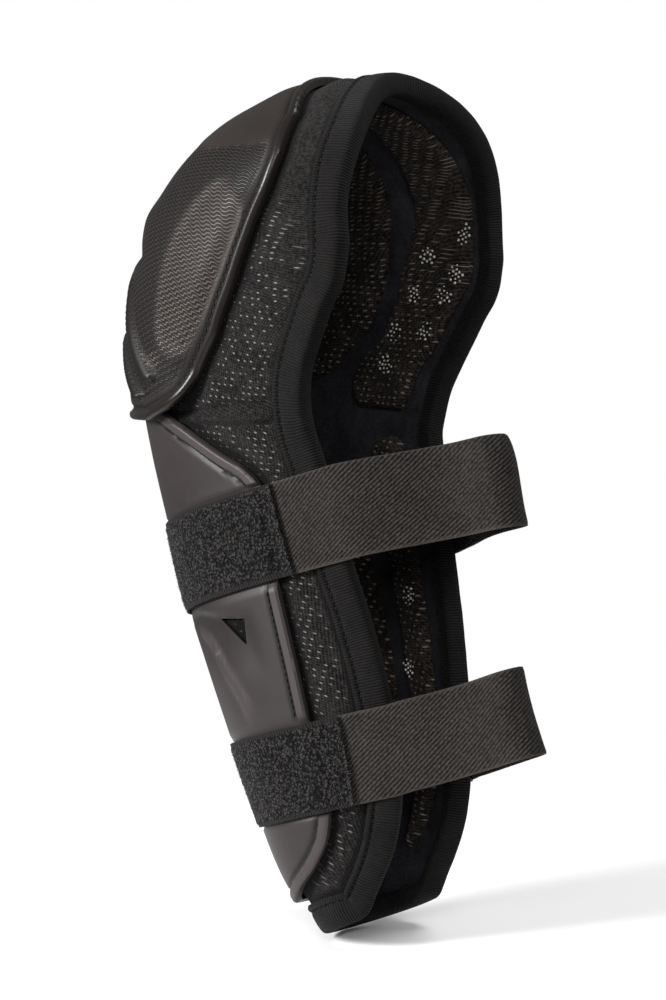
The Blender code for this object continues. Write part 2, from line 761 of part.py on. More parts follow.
def main():
    clear_scene()
    for name in (COLLECTION, "cutters"):
        bpy.context.scene.collection.children.link(bpy.data.collections.new(name))
    make_materials()
    make_body()
    make_binding()
    make_cap()
    make_plate()
    make_tape("loop_tape_upper", UPPER_BAND_DOWN)
    make_tape("loop_tape_lower", LOWER_BAND_DOWN)
    make_tab("hook_tab_upper", UPPER_BAND_DOWN)
    make_tab("hook_tab_lower", LOWER_BAND_DOWN)
    make_strap("strap_upper", UPPER_BAND_DOWN, UPPER_STRAP_REAR, UPPER_STRAP_DROP)
    make_strap("strap_lower", LOWER_BAND_DOWN, LOWER_STRAP_REAR, LOWER_STRAP_DROP)
    make_liner_pad("liner_knee_pad", KNEE_PAD, 1, 11)
    make_liner_pad("liner_shin_pad", SHIN_PAD, 1, 10)
    for suffix, side in (("left", 1), ("right", -1)):
        make_liner_pad("liner_side_pad_" + suffix, SIDE_PAD, side, 5)
        make_liner_pad("liner_calf_pad_" + suffix, CALF_PAD, side, 4)


if __name__ == "__main__":
    main()
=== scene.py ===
"""The visible knee guard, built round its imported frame.

Metres, +Z up, -Y the front of the knee, +X the wearer's left. A place on the guide surface has
two shares, as in the frame: down, from 0 at the top arch to 1 at the bottom edge, and across,
from 0 at the front centre line to 1 at a wing's edge. A layer's lift is its distance outwards.
"""

import json
import math

import bpy
import numpy as np
from mathutils import Matrix, Vector, noise

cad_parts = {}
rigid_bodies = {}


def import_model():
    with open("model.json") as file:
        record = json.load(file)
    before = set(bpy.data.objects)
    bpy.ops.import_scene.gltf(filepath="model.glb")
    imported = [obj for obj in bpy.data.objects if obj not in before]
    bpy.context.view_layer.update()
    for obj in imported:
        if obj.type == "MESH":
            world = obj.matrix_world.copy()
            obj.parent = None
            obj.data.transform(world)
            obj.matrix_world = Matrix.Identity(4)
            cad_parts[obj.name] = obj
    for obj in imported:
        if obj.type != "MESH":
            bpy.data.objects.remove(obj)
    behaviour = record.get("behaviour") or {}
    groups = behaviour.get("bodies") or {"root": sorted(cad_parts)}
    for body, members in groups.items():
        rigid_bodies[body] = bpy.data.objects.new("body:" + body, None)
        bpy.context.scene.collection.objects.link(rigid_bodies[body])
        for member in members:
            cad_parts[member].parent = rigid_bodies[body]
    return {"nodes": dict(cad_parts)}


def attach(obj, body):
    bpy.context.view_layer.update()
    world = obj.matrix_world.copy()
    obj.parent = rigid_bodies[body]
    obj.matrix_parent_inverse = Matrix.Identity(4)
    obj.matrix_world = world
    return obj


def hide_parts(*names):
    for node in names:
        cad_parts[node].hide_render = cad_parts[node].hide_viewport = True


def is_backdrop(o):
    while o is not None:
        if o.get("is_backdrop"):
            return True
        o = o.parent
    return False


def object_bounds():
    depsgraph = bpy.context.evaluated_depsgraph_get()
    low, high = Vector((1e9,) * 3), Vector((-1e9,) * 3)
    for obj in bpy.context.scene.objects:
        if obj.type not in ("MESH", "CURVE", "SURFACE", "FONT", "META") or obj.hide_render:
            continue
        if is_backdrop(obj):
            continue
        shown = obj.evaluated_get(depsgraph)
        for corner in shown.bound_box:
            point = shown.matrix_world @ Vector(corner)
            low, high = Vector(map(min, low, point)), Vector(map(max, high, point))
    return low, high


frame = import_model()

bl_info = {
    "name": "Knee guard",
    "version": (1, 0, 0),
    "blender": (4, 5, 0),
    "location": "View3D > Sidebar > Knee guard",
    "description": "Builds the visible knee guard round its packed frame",
    "category": "Object",
}

BODY = "root"
MILLIMETRE = 0.001

# The frame's own sizes and tables.
GUARD_HEIGHT = 0.390
WRAP_DEPTH = 0.129
KNEE_HALF_WIDTH = 0.061
BODY_WALL = 0.0070
EDGE_DIP = 0.0015
BINDING_WIDTH = 0.0130
BINDING_INNER_WIDTH = 0.0065
BINDING_THICKNESS = 0.0012
FOLD_GAP = 0.0011
SEAT_GAP = 0.0009
LAYER_GAP = 0.0005
CAP_THICKNESS = 0.0026
CAP_LIP_LIFT = 0.0062
CAP_RISE_WIDTH = 0.0180
PLATE_THICKNESS = 0.0026
CHANNEL_DEPTH = 0.0009
STRAP_WIDTH = 0.0400
STRAP_THICKNESS = 0.0016
TAPE_THICKNESS = 0.0018
TAB_THICKNESS = 0.0012
STRAP_BEND_RADIUS = 0.0080
STRAP_PULL = 0.35
UPPER_BAND_DOWN = 0.681
LOWER_BAND_DOWN = 0.850
UPPER_STRAP_REAR = 0.1160
LOWER_STRAP_REAR = 0.0954
UPPER_STRAP_DROP = 0.0030
LOWER_STRAP_DROP = -0.0035
TAPE_END = 0.845
STRAP_START = 0.825
FAR_STRAP_END = 0.56
CLIMB_START = 0.975
CLIMB_END = 0.853
STRAP_LIFT = FOLD_GAP - EDGE_DIP + BINDING_THICKNESS + LAYER_GAP
CHANNEL_FLOOR = SEAT_GAP + PLATE_THICKNESS - CHANNEL_DEPTH
TAPE_LIFT = max(CHANNEL_FLOOR, STRAP_LIFT + STRAP_THICKNESS) + LAYER_GAP
TAB_LIFT = TAPE_LIFT + TAPE_THICKNESS + LAYER_GAP
OVER_TAB_LIFT = TAB_LIFT + TAB_THICKNESS + LAYER_GAP

SECTION_COLUMNS = (
    "front_y", "front_z", "fan", "half_width", "nose", "edge_half_width", "edge_depth", "bow",
)
SECTIONS = (
    (0.667, 0.250, -82, 0.985, 1.147, 0.985, 0.619, 0.130),
    (0.464, 0.248, -68, 1.000, 1.031, 0.985, 0.737, 0.100),
    (0.242, 0.231, -56, 1.000, 0.984, 0.985, 0.844, 0.065),
    (0.026, 0.200, -45, 1.000, 0.951, 0.985, 0.922, 0.035),
    (-0.179, 0.144, -35, 1.000, 0.969, 0.965, 0.992, 0.000),
    (-0.320, 0.065, -26, 1.000, 0.965, 0.935, 1.000, 0.000),
    (-0.390, -0.020, -15, 0.985, 0.950, 0.900, 0.975, 0.000),
    (-0.385, -0.105, -6, 0.950, 0.935, 0.850, 0.930, 0.000),
    (-0.345, -0.185, 5, 0.900, 0.900, 0.805, 0.890, 0.000),
    (-0.265, -0.280, 16, 0.850, 0.850, 0.755, 0.875, 0.000),
    (-0.185, -0.365, 16, 0.820, 0.820, 0.670, 0.860, 0.000),
    (-0.045, -0.475, 16, 0.770, 0.770, 0.540, 0.815, 0.000),
    (0.110, -0.590, 16, 0.705, 0.705, 0.445, 0.720, 0.000),
    (0.240, -0.675, 18, 0.640, 0.625, 0.425, 0.565, 0.000),
    (0.405, -0.740, 24, 0.520, 0.400, 0.440, 0.290, 0.000),
)
SECTION_SCALE = (
    WRAP_DEPTH, GUARD_HEIGHT, 1.0, KNEE_HALF_WIDTH,
    KNEE_HALF_WIDTH, KNEE_HALF_WIDTH, WRAP_DEPTH, KNEE_HALF_WIDTH,
)
SIZED = np.array(SECTIONS, float) * np.array(SECTION_SCALE)
SLOPES = np.gradient(SIZED, axis=0)
ROWS = len(SIZED) - 1

CAP_OUTLINE = (
    (0.090, 0.43), (0.120, 0.57), (0.164, 0.641), (0.254, 0.705), (0.320, 0.724),
    (0.376, 0.722), (0.430, 0.695), (0.473, 0.650), (0.505, 0.580), (0.527, 0.470),
)
PLATE_OUTLINE = (
    (0.470, 0.30), (0.500, 0.42), (0.519, 0.50), (0.540, 0.575), (0.563, 0.638),
    (0.590, 0.710), (0.614, 0.770), (0.642, 0.805), (0.680, 0.795), (0.724, 0.773),
    (0.780, 0.748), (0.832, 0.735), (0.881, 0.745), (0.905, 0.725), (0.928, 0.655),
    (0.945, 0.540), (0.960, 0.380),
)
CAP_DOME = (
    (0.09, 0.40), (0.16, 0.45), (0.24, 0.85), (0.32, 1.10), (0.40, 0.90), (0.53, 1.00),
)
KNEE_PAD = (
    (0.155, -0.24, 0.24), (0.173, -0.36, 0.36), (0.199, -0.47, 0.47), (0.230, -0.56, 0.56),
    (0.268, -0.63, 0.63), (0.310, -0.67, 0.67), (0.356, -0.67, 0.67), (0.415, -0.62, 0.62),
    (0.454, -0.56, 0.56), (0.480, -0.45, 0.45),
)
SIDE_PAD = (
    (0.060, 0.05, 0.68), (0.075, 0.04, 0.76), (0.095, 0.05, 0.84), (0.118, 0.22, 0.890),
    (0.148, 0.44, 0.915), (0.190, 0.62, 0.925), (0.225, 0.665, 0.930), (0.265, 0.700, 0.930),
    (0.310, 0.730, 0.930), (0.350, 0.735, 0.925), (0.385, 0.720, 0.915), (0.430, 0.675, 0.905),
    (0.470, 0.650, 0.895), (0.505, 0.670, 0.860),
)
SHIN_PAD = (
    (0.590, -0.34, 0.34), (0.605, -0.50, 0.50), (0.640, -0.60, 0.60), (0.700, -0.64, 0.64),
    (0.760, -0.65, 0.65), (0.820, -0.63, 0.63), (0.860, -0.54, 0.54), (0.880, -0.40, 0.40),
)
CALF_PAD = (
    (0.570, 0.77, 0.84), (0.585, 0.74, 0.880), (0.640, 0.735, 0.890), (0.700, 0.740, 0.890),
    (0.760, 0.740, 0.885), (0.820, 0.725, 0.875), (0.870, 0.690, 0.845), (0.910, 0.630, 0.780),
    (0.930, 0.590, 0.700), (0.940, 0.600, 0.640),
)

# Fine sizes that only the visible guard has.
BINDING_GRID = 0.0017
BEAD_HALF_WIDTH = 0.0021
CAP_GROOVE_INSET = 0.0056
CAP_GROOVE_DEPTH = 0.0009
CAP_STITCH_PITCH = 0.0021
CAP_STITCH_LENGTH = 0.0026
NOSE_LIFT = 0.0018
BROW_LIFT = 0.0016
NOTCH_DEPTH = 0.0022
WAVE_ROW = 0.00185
WAVE_PERIOD = 0.0050
WAVE_RELIEF = 0.00055
PLATE_BORDER_WIDTH = 0.0048
PLATE_GROOVE_INSET = 0.0060
PLATE_GROOVE_DEPTH = 0.0007
PLATE_STITCH_PITCH = 0.0030
DISH_DEPTH = 0.0013
LEDGE_DEPTH = 0.0008
SWOOSH_HEIGHT = 0.0013
EYELET_PITCH = 0.0036
LINER_EYELET_PITCH = 0.0038
BINDING_RIB_PITCH = 0.00125
SELVEDGE_RIB_PITCH = 0.0014
PILE_TUFT_SIZE = 0.0014
TWILL_PITCH = 0.00155
TWILL_FLOAT = 0.0026
LOOSE_LOOPS = 3400
END_LOOPS = 420

# Lines and forms that only the visible guard has, as places on the guide surface.
CREASE_TOP = ((0.45, 0.530), (0.586, 0.519), (0.75, 0.500), (0.915, 0.482), (1.0, 0.478))
CREASE_LOW = ((0.45, 0.545), (0.635, 0.540), (0.75, 0.540), (0.927, 0.541), (1.0, 0.545))
SMOOTH_TOP = ((0.0, 0.262), (0.342, 0.229), (0.483, 0.161), (0.546, 0.093), (0.75, 0.05))
CLAWS = (
    ((0.355, 0.275), (0.418, 0.385), (0.476, 0.520), 0.0056),
    ((0.425, 0.300), (0.462, 0.355), (0.500, 0.455), 0.0040),
)
FACET = ((0.195, 0.560), (0.310, 0.592), (0.445, 0.585), 0.0150)
NOSE = (0.325, 0.0, 0.060, 0.24)
VENT = ((0.738, 0.505), (0.743, 0.606), (0.761, 0.580))
SCOOP_LINE = ((0.725, 0.380), (0.732, 0.500), (0.737, 0.620))
SWOOSH_LINE = (
    (0.735, 0.330), (0.750, 0.415), (0.764, 0.445), (0.779, 0.472), (0.796, 0.505), (0.815, 0.515),
)
DOT_PLACES = (
    (0.093, 0.800), (0.208, 0.764), (0.164, 0.880), (0.275, 0.795), (0.235, 0.895), (0.318, 0.890),
    (0.349, 0.790), (0.420, 0.800), (0.748, 0.850), (0.700, 0.780), (0.796, 0.780), (0.870, 0.760),
)


def smooth(x):
    """A soft step from 0 to 1 while x goes from 0 to 1."""
    x = np.clip(x, 0.0, 1.0)
    return x * x * (3.0 - 2.0 * x)


def bell(x):
    return np.exp(-np.square(x))


def curve_through(table, place, column=1):
    """A value read from a table on a smooth curve that never overshoots its rows."""
    at = np.array([row[0] for row in table], float)
    value = np.array([row[column] for row in table], float)
    step = np.diff(value) / np.diff(at)
    middle = np.where(step[:-1] * step[1:] > 0, 2 * step[:-1] * step[1:], 0.0)
    total = np.where(np.abs(step[:-1] + step[1:]) > 1e-9, step[:-1] + step[1:], 1.0)
    slope = np.concatenate([step[:1], middle / total, step[-1:]])
    place = np.clip(place, at[0], at[-1])
    row = np.clip(np.searchsorted(at, place, side="right") - 1, 0, len(at) - 2)
    width = at[row + 1] - at[row]
    part = (place - at[row]) / width
    rest = 1 - part
    return (
        value[row] * (1 + 2 * part) * rest**2 + width * slope[row] * part * rest**2
        + value[row + 1] * (3 - 2 * part) * part**2 - width * slope[row + 1] * rest * part**2
    )


def section_at(down):
    """The section's values at places down the guard, on a smooth curve through the rows."""
    place = np.asarray(down, float) * ROWS
    row = np.clip(np.floor(place).astype(int), 0, ROWS - 1)
    part = (place - row)[..., None]
    start = 2 * part**3 - 3 * part**2 + 1
    leave = part**3 - 2 * part**2 + part
    arrive = part**3 - part**2
    values = start * SIZED[row] + leave * SLOPES[row]
    values = values + (1 - start) * SIZED[row + 1] + arrive * SLOPES[row + 1]
    return {name: values[..., index] for index, name in enumerate(SECTION_COLUMNS)}


def arc_length(section):
    return math.pi / 4 * (section["half_width"] + section["nose"])


def side_length(section):
    reach = section["edge_depth"] - section["nose"]
    return np.maximum(np.hypot(section["edge_half_width"] - section["half_width"], reach), 1e-4)


def flat_section(section, across):
    """Half width and depth on the section: a quarter ellipse at the front, then a wing."""
    arc = arc_length(section)
    side = side_length(section)
    run = across * (arc + side)
    half, nose = section["half_width"], section["nose"]
    turn = np.minimum(run / arc, 1.0) * math.pi / 2
    part = np.clip((run - arc) / side, 0.0, 1.0)
    reach = section["edge_depth"] - nose
    wing_x = half * (1 - part**2) + section["edge_half_width"] * part**2
    wing_depth = nose * (1 - part) ** 2 + 2 * part * (1 - part) * (nose + reach / 2)
    wing_depth = wing_depth + section["edge_depth"] * part**2
    front = run <= arc
    x = np.where(front, half * np.sin(turn), wing_x)
    return x, np.where(front, nose * (1 - np.cos(turn)), wing_depth)


def place_in_section(section, x, depth, bow=0.0):
    """World place of a point that lies x aside and depth back in a tilted section."""
    tilt = np.radians(section["fan"])
    y = section["front_y"] + depth * np.cos(tilt) - bow * np.sin(tilt)
    z = section["front_z"] + depth * np.sin(tilt) + bow * np.cos(tilt)
    return np.stack(np.broadcast_arrays(x, y, z), axis=-1)


def guide_point(down, across):
    down, across = np.broadcast_arrays(np.asarray(down, float), np.asarray(across, float))
    section = section_at(down)
    x, depth = flat_section(section, np.abs(across))
    bow = section["bow"] * np.sin(math.pi * across) ** 2
    return place_in_section(section, np.copysign(x, across), depth, bow)


def slopes_at(down, across):
    """The guide surface's change per share down and per share across."""
    step = 1e-3
    down, across = np.broadcast_arrays(np.asarray(down, float), np.asarray(across, float))
    above, below = np.maximum(down - step, 0.0), np.minimum(down + step, 1.0)
    near, far = np.maximum(across - step, -1.0), np.minimum(across + step, 1.0)
    down_change = guide_point(below, across) - guide_point(above, across)
    across_change = guide_point(down, far) - guide_point(down, near)
    return down_change / (below - above)[..., None], across_change / (far - near)[..., None]


def unit(vectors):
    return vectors / np.linalg.norm(vectors, axis=-1, keepdims=True)


def normal_at(down, across):
    return unit(np.cross(*slopes_at(down, across)))


def on_guard(down, across, lift):
    lift = np.asarray(lift, float)
    return guide_point(down, across) + lift[..., None] * normal_at(down, across)


def share_down(down, across, length):
    return length / np.linalg.norm(slopes_at(down, across)[0], axis=-1)


def share_across(down, length):
    section = section_at(down)
    return length / (arc_length(section) + side_length(section))


MAP_DOWN = np.linspace(0.0, 1.0, 161)
MAP_ACROSS = np.linspace(0.0, 1.0, 81)


def length_tables():
    """Lengths over the guide surface: across from the front line, and down from its middle."""
    points = guide_point(MAP_DOWN[:, None], MAP_ACROSS[None, :])
    across = np.linalg.norm(np.diff(points, axis=1), axis=-1).cumsum(axis=1)
    down = np.linalg.norm(np.diff(points, axis=0), axis=-1).cumsum(axis=0)
    across = np.pad(across, ((0, 0), (1, 0)))
    down = np.pad(down, ((1, 0), (0, 0)))
    return across, down - down[len(MAP_DOWN) // 2]


LENGTHS = length_tables()


def guide_map(down, across):
    """A place's map in metres, one pattern over the whole guard: across, and down."""
    row = np.clip(down, 0, 1) * (len(MAP_DOWN) - 1)
    column = np.clip(np.abs(across), 0, 1) * (len(MAP_ACROSS) - 1)
    r = np.clip(row.astype(int), 0, len(MAP_DOWN) - 2)
    c = np.clip(column.astype(int), 0, len(MAP_ACROSS) - 2)
    y, x = row - r, column - c
    read = [
        (1 - y) * ((1 - x) * table[r, c] + x * table[r, c + 1])
        + y * ((1 - x) * table[r + 1, c] + x * table[r + 1, c + 1])
        for table in LENGTHS
    ]
    return np.stack([np.copysign(read[0], across), -read[1]], axis=-1)


def distance_to_line(points, line):
    """Distance of each point to a polyline, both in metres."""
    flat = points.reshape(-1, 3)
    best = np.full(len(flat), 1e9)
    for start, end in zip(line[:-1], line[1:]):
        leg = end - start
        part = np.clip((flat - start) @ leg / max(float(leg @ leg), 1e-12), 0.0, 1.0)
        best = np.minimum(best, np.linalg.norm(flat - start - part[:, None] * leg, axis=1))
    return best.reshape(points.shape[:-1])


def border_places(side_steps, end_steps):
    """Places round the whole edge of the guard, in order, each once."""
    sides = np.linspace(0.0, 1.0, side_steps + 1)[:-1]
    ends = np.linspace(-1.0, 1.0, end_steps + 1)[:-1]
    places = [(down, 1.0) for down in sides]
    places += [(1.0, -across) for across in ends]
    places += [(1.0 - down, -1.0) for down in sides]
    places += [(0.0, across) for across in ends]
    return np.array(places)


EDGE_PLACES = border_places(90, 60)
EDGE_LINE = guide_point(EDGE_PLACES[:, 0], EDGE_PLACES[:, 1])
EDGE_LINE = np.vstack([EDGE_LINE, EDGE_LINE[:1]])


def outline_line(outline, steps=60):
    """A closed outline of half widths as a polyline on the guide surface."""
    downs = np.linspace(outline[0][0], outline[-1][0], steps)
    halves = curve_through(outline, downs)
    tops = np.linspace(-1.0, 1.0, 24)[1:-1]
    places = [*zip(downs, halves)]
    places += [(downs[-1], -part * halves[-1]) for part in tops]
    places += [*zip(downs[::-1], -halves[::-1])]
    places += [(downs[0], part * halves[0]) for part in tops]
    places.append(places[0])
    places = np.array(places)
    return guide_point(places[:, 0], places[:, 1])


CAP_LINE = outline_line(CAP_OUTLINE)
PLATE_LINE = outline_line(PLATE_OUTLINE)


def ripple(points, size, seed=0.0):
    """Seeded smooth noise from -1 to 1 at each point; size is its length in metres."""
    flat = points.reshape(-1, 3) / size + seed
    values = [noise.noise(Vector(place)) for place in flat]
    return np.array(values).reshape(points.shape[:-1])


# Meshes


def only(piece):
    """Makes a piece the one that operators act on."""
    bpy.ops.object.select_all(action="DESELECT")
    piece.select_set(True)
    bpy.context.view_layer.objects.active = piece
    return piece


def apply(piece, kind, **settings):
    """Adds a modifier, sets it and applies it."""
    only(piece)
    modifier = piece.modifiers.new(kind.lower(), kind)
    for name, value in settings.items():
        setattr(modifier, name, value)
    bpy.ops.object.modifier_apply(modifier=modifier.name)


def run_lengths(points, axis):
    """Length along one direction of a grid of points, from its first row or column."""
    legs = np.linalg.norm(np.diff(points, axis=axis), axis=-1)
    start = np.zeros_like(np.take(legs, [0], axis=axis))
    return np.concatenate([start, np.cumsum(legs, axis=axis)], axis=axis)


def surface_map(points):
    """A map of a grid in metres: along its rows from the middle, and down its columns."""
    along = run_lengths(points, 1)
    along = along - along[:, [along.shape[1] // 2]]
    return np.stack([along, run_lengths(points, 0)], axis=-1)


def set_map(piece, places):
    """Writes each vertex's map place to the faces' corners."""
    mesh = piece.data
    corners = np.empty(len(mesh.loops), np.int32)
    mesh.loops.foreach_get("vertex_index", corners)
    places = places.reshape(-1, 2)
    values = places[corners % len(places)]
    layer_map = mesh.uv_layers.active or mesh.uv_layers.new(name="UVMap")
    layer_map.name = "UVMap"
    layer_map.data.foreach_set("uv", values.astype(np.float32).ravel())


def merge_seams(piece):
    """Joins a rolled grid's meeting edges and turns its faces outwards."""
    only(piece)
    bpy.ops.object.mode_set(mode="EDIT")
    bpy.ops.mesh.select_all(action="SELECT")
    bpy.ops.mesh.remove_doubles(threshold=1e-6)
    bpy.ops.mesh.normals_make_consistent(inside=False)
    bpy.ops.object.mode_set(mode="OBJECT")


def set_points(piece, points, start=0):
    mesh = piece.data
    flat = np.empty(len(mesh.vertices) * 3, np.float32)
    mesh.vertices.foreach_get("co", flat)
    flat = flat.reshape(-1, 3)
    points = points.reshape(-1, 3)
    flat[start:start + len(points)] = points
    mesh.vertices.foreach_set("co", flat.ravel())
    mesh.update()


def points_of(piece):
    flat = np.empty(len(piece.data.vertices) * 3, np.float32)
    piece.data.vertices.foreach_get("co", flat)
    return flat.reshape(-1, 3).astype(float)


def grid_piece(name, outer, places=None):
    """A grid primitive whose vertices take the given points; rows run down, columns across."""
    rows, columns = outer.shape[:2]
    bpy.ops.object.select_all(action="DESELECT")
    bpy.ops.mesh.primitive_grid_add(x_subdivisions=columns - 1, y_subdivisions=rows - 1, size=1)
    piece = bpy.context.object
    piece.name = piece.data.name = name
    set_points(piece, outer[::-1])
    places = surface_map(outer) if places is None else places
    set_map(piece, places[::-1])
    return piece


def layer(name, outer, inner, finishes, places=None, bevel=0.0, angle=50):
    """A closed layer: a grid for its outer face and a wall down to its inner face."""
    piece = grid_piece(name, outer, places)
    for finish in finishes:
        piece.data.materials.append(finish)
    apply(
        piece, "SOLIDIFY", thickness=MILLIMETRE, offset=-1.0, use_rim=True,
        material_offset=len(finishes) - 1,
    )
    set_points(piece, inner[::-1], start=outer.shape[0] * outer.shape[1])
    if bevel:
        apply(
            piece, "BEVEL", width=bevel, segments=2, limit_method="ANGLE",
            angle_limit=math.radians(60), harden_normals=False,
        )
    finish_shape(piece, angle)
    return piece


def finish_shape(piece, angle=50):
    only(piece)
    bpy.ops.object.shade_smooth_by_angle(angle=math.radians(angle))


def copies(name, template, frames, finish, scales=None):
    """One piece made of copies of a small template mesh, each set by a 3x3 frame and a place."""
    base = points_of(template)
    faces = [tuple(face.vertices) for face in template.data.polygons]
    bpy.data.objects.remove(template)
    points, all_faces = [], []
    for number, (axes, place) in enumerate(frames):
        size = 1.0 if scales is None else scales[number]
        points.append((base * size) @ np.asarray(axes) + place)
        all_faces += [tuple(index + number * len(base) for index in face) for face in faces]
    mesh = bpy.data.meshes.new(name)
    mesh.from_pydata(np.concatenate(points).tolist(), [], all_faces)
    piece = bpy.data.objects.new(name, mesh)
    bpy.context.scene.collection.objects.link(piece)
    mesh.materials.append(finish)
    finish_shape(piece, 60)
    return piece


def small_capsule(length, radius):
    """A stitch: a short round bar with tapered ends, lying along X."""
    bpy.ops.object.select_all(action="DESELECT")
    bpy.ops.mesh.primitive_uv_sphere_add(segments=6, ring_count=5, radius=radius)
    piece = bpy.context.object
    points = points_of(piece)[:, [2, 0, 1]]
    points[:, 0] *= length / 2 / radius
    set_points(piece, points)
    return piece


def walk_line(places, pitch, lift, start=0.0):
    """Evenly spaced stations along a line of places: point, direction and outward normal."""
    places = np.asarray(places, float)
    fine = np.linspace(0, len(places) - 1, len(places) * 40)
    down = np.interp(fine, range(len(places)), places[:, 0])
    across = np.interp(fine, range(len(places)), places[:, 1])
    points = guide_point(down, across)
    run = np.concatenate([[0], np.cumsum(np.linalg.norm(np.diff(points, axis=0), axis=1))])
    marks = np.arange(start + pitch / 2, run[-1], pitch)
    down, across = np.interp(marks, run, down), np.interp(marks, run, across)
    lifts = lift(down, across) if callable(lift) else np.full(len(marks), lift)
    spots = on_guard(down, across, lifts)
    ahead = unit(np.gradient(spots, axis=0))
    return spots, ahead, normal_at(down, across)


def stitches(name, lines, length, radius, finish, slant=0.0):
    """Rows of stitches laid along lines, each turned a little off the line's direction."""
    frames = []
    for spots, ahead, normal in lines:
        for number, (spot, along, up) in enumerate(zip(spots, ahead, normal)):
            side = np.cross(up, along)
            lean = slant * (1 if number % 2 else -1)
            turned = along * math.cos(lean) + side * math.sin(lean)
            frames.append(((turned, np.cross(up, turned), up), spot))
    return copies(name, small_capsule(length, radius), frames, finish)


def add_piece(piece, replaced=()):
    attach(piece, BODY)
    if replaced:
        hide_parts(*replaced)
    return piece


# Finishes


class Wire:
    """A number in a finish's nodes that takes part in Python arithmetic."""

    def __init__(self, finish, socket):
        self.finish = finish
        self.socket = socket

    def joined(self, operation, first, second):
        made = self.finish.node("ShaderNodeMath", {"operation": operation}, {0: first, 1: second})
        return Wire(self.finish, made.outputs[0])

    def __add__(self, other):
        return self.joined("ADD", self, other)

    def __radd__(self, other):
        return self.joined("ADD", other, self)

    def __sub__(self, other):
        return self.joined("SUBTRACT", self, other)

    def __rsub__(self, other):
        return self.joined("SUBTRACT", other, self)

    def __mul__(self, other):
        return self.joined("MULTIPLY", self, other)

    def __rmul__(self, other):
        return self.joined("MULTIPLY", other, self)

    def __truediv__(self, other):
        return self.joined("DIVIDE", self, other)

    def __pow__(self, other):
        return self.joined("POWER", self, other)

    def __mod__(self, other):
        return self.joined("FLOORED_MODULO", self, other)


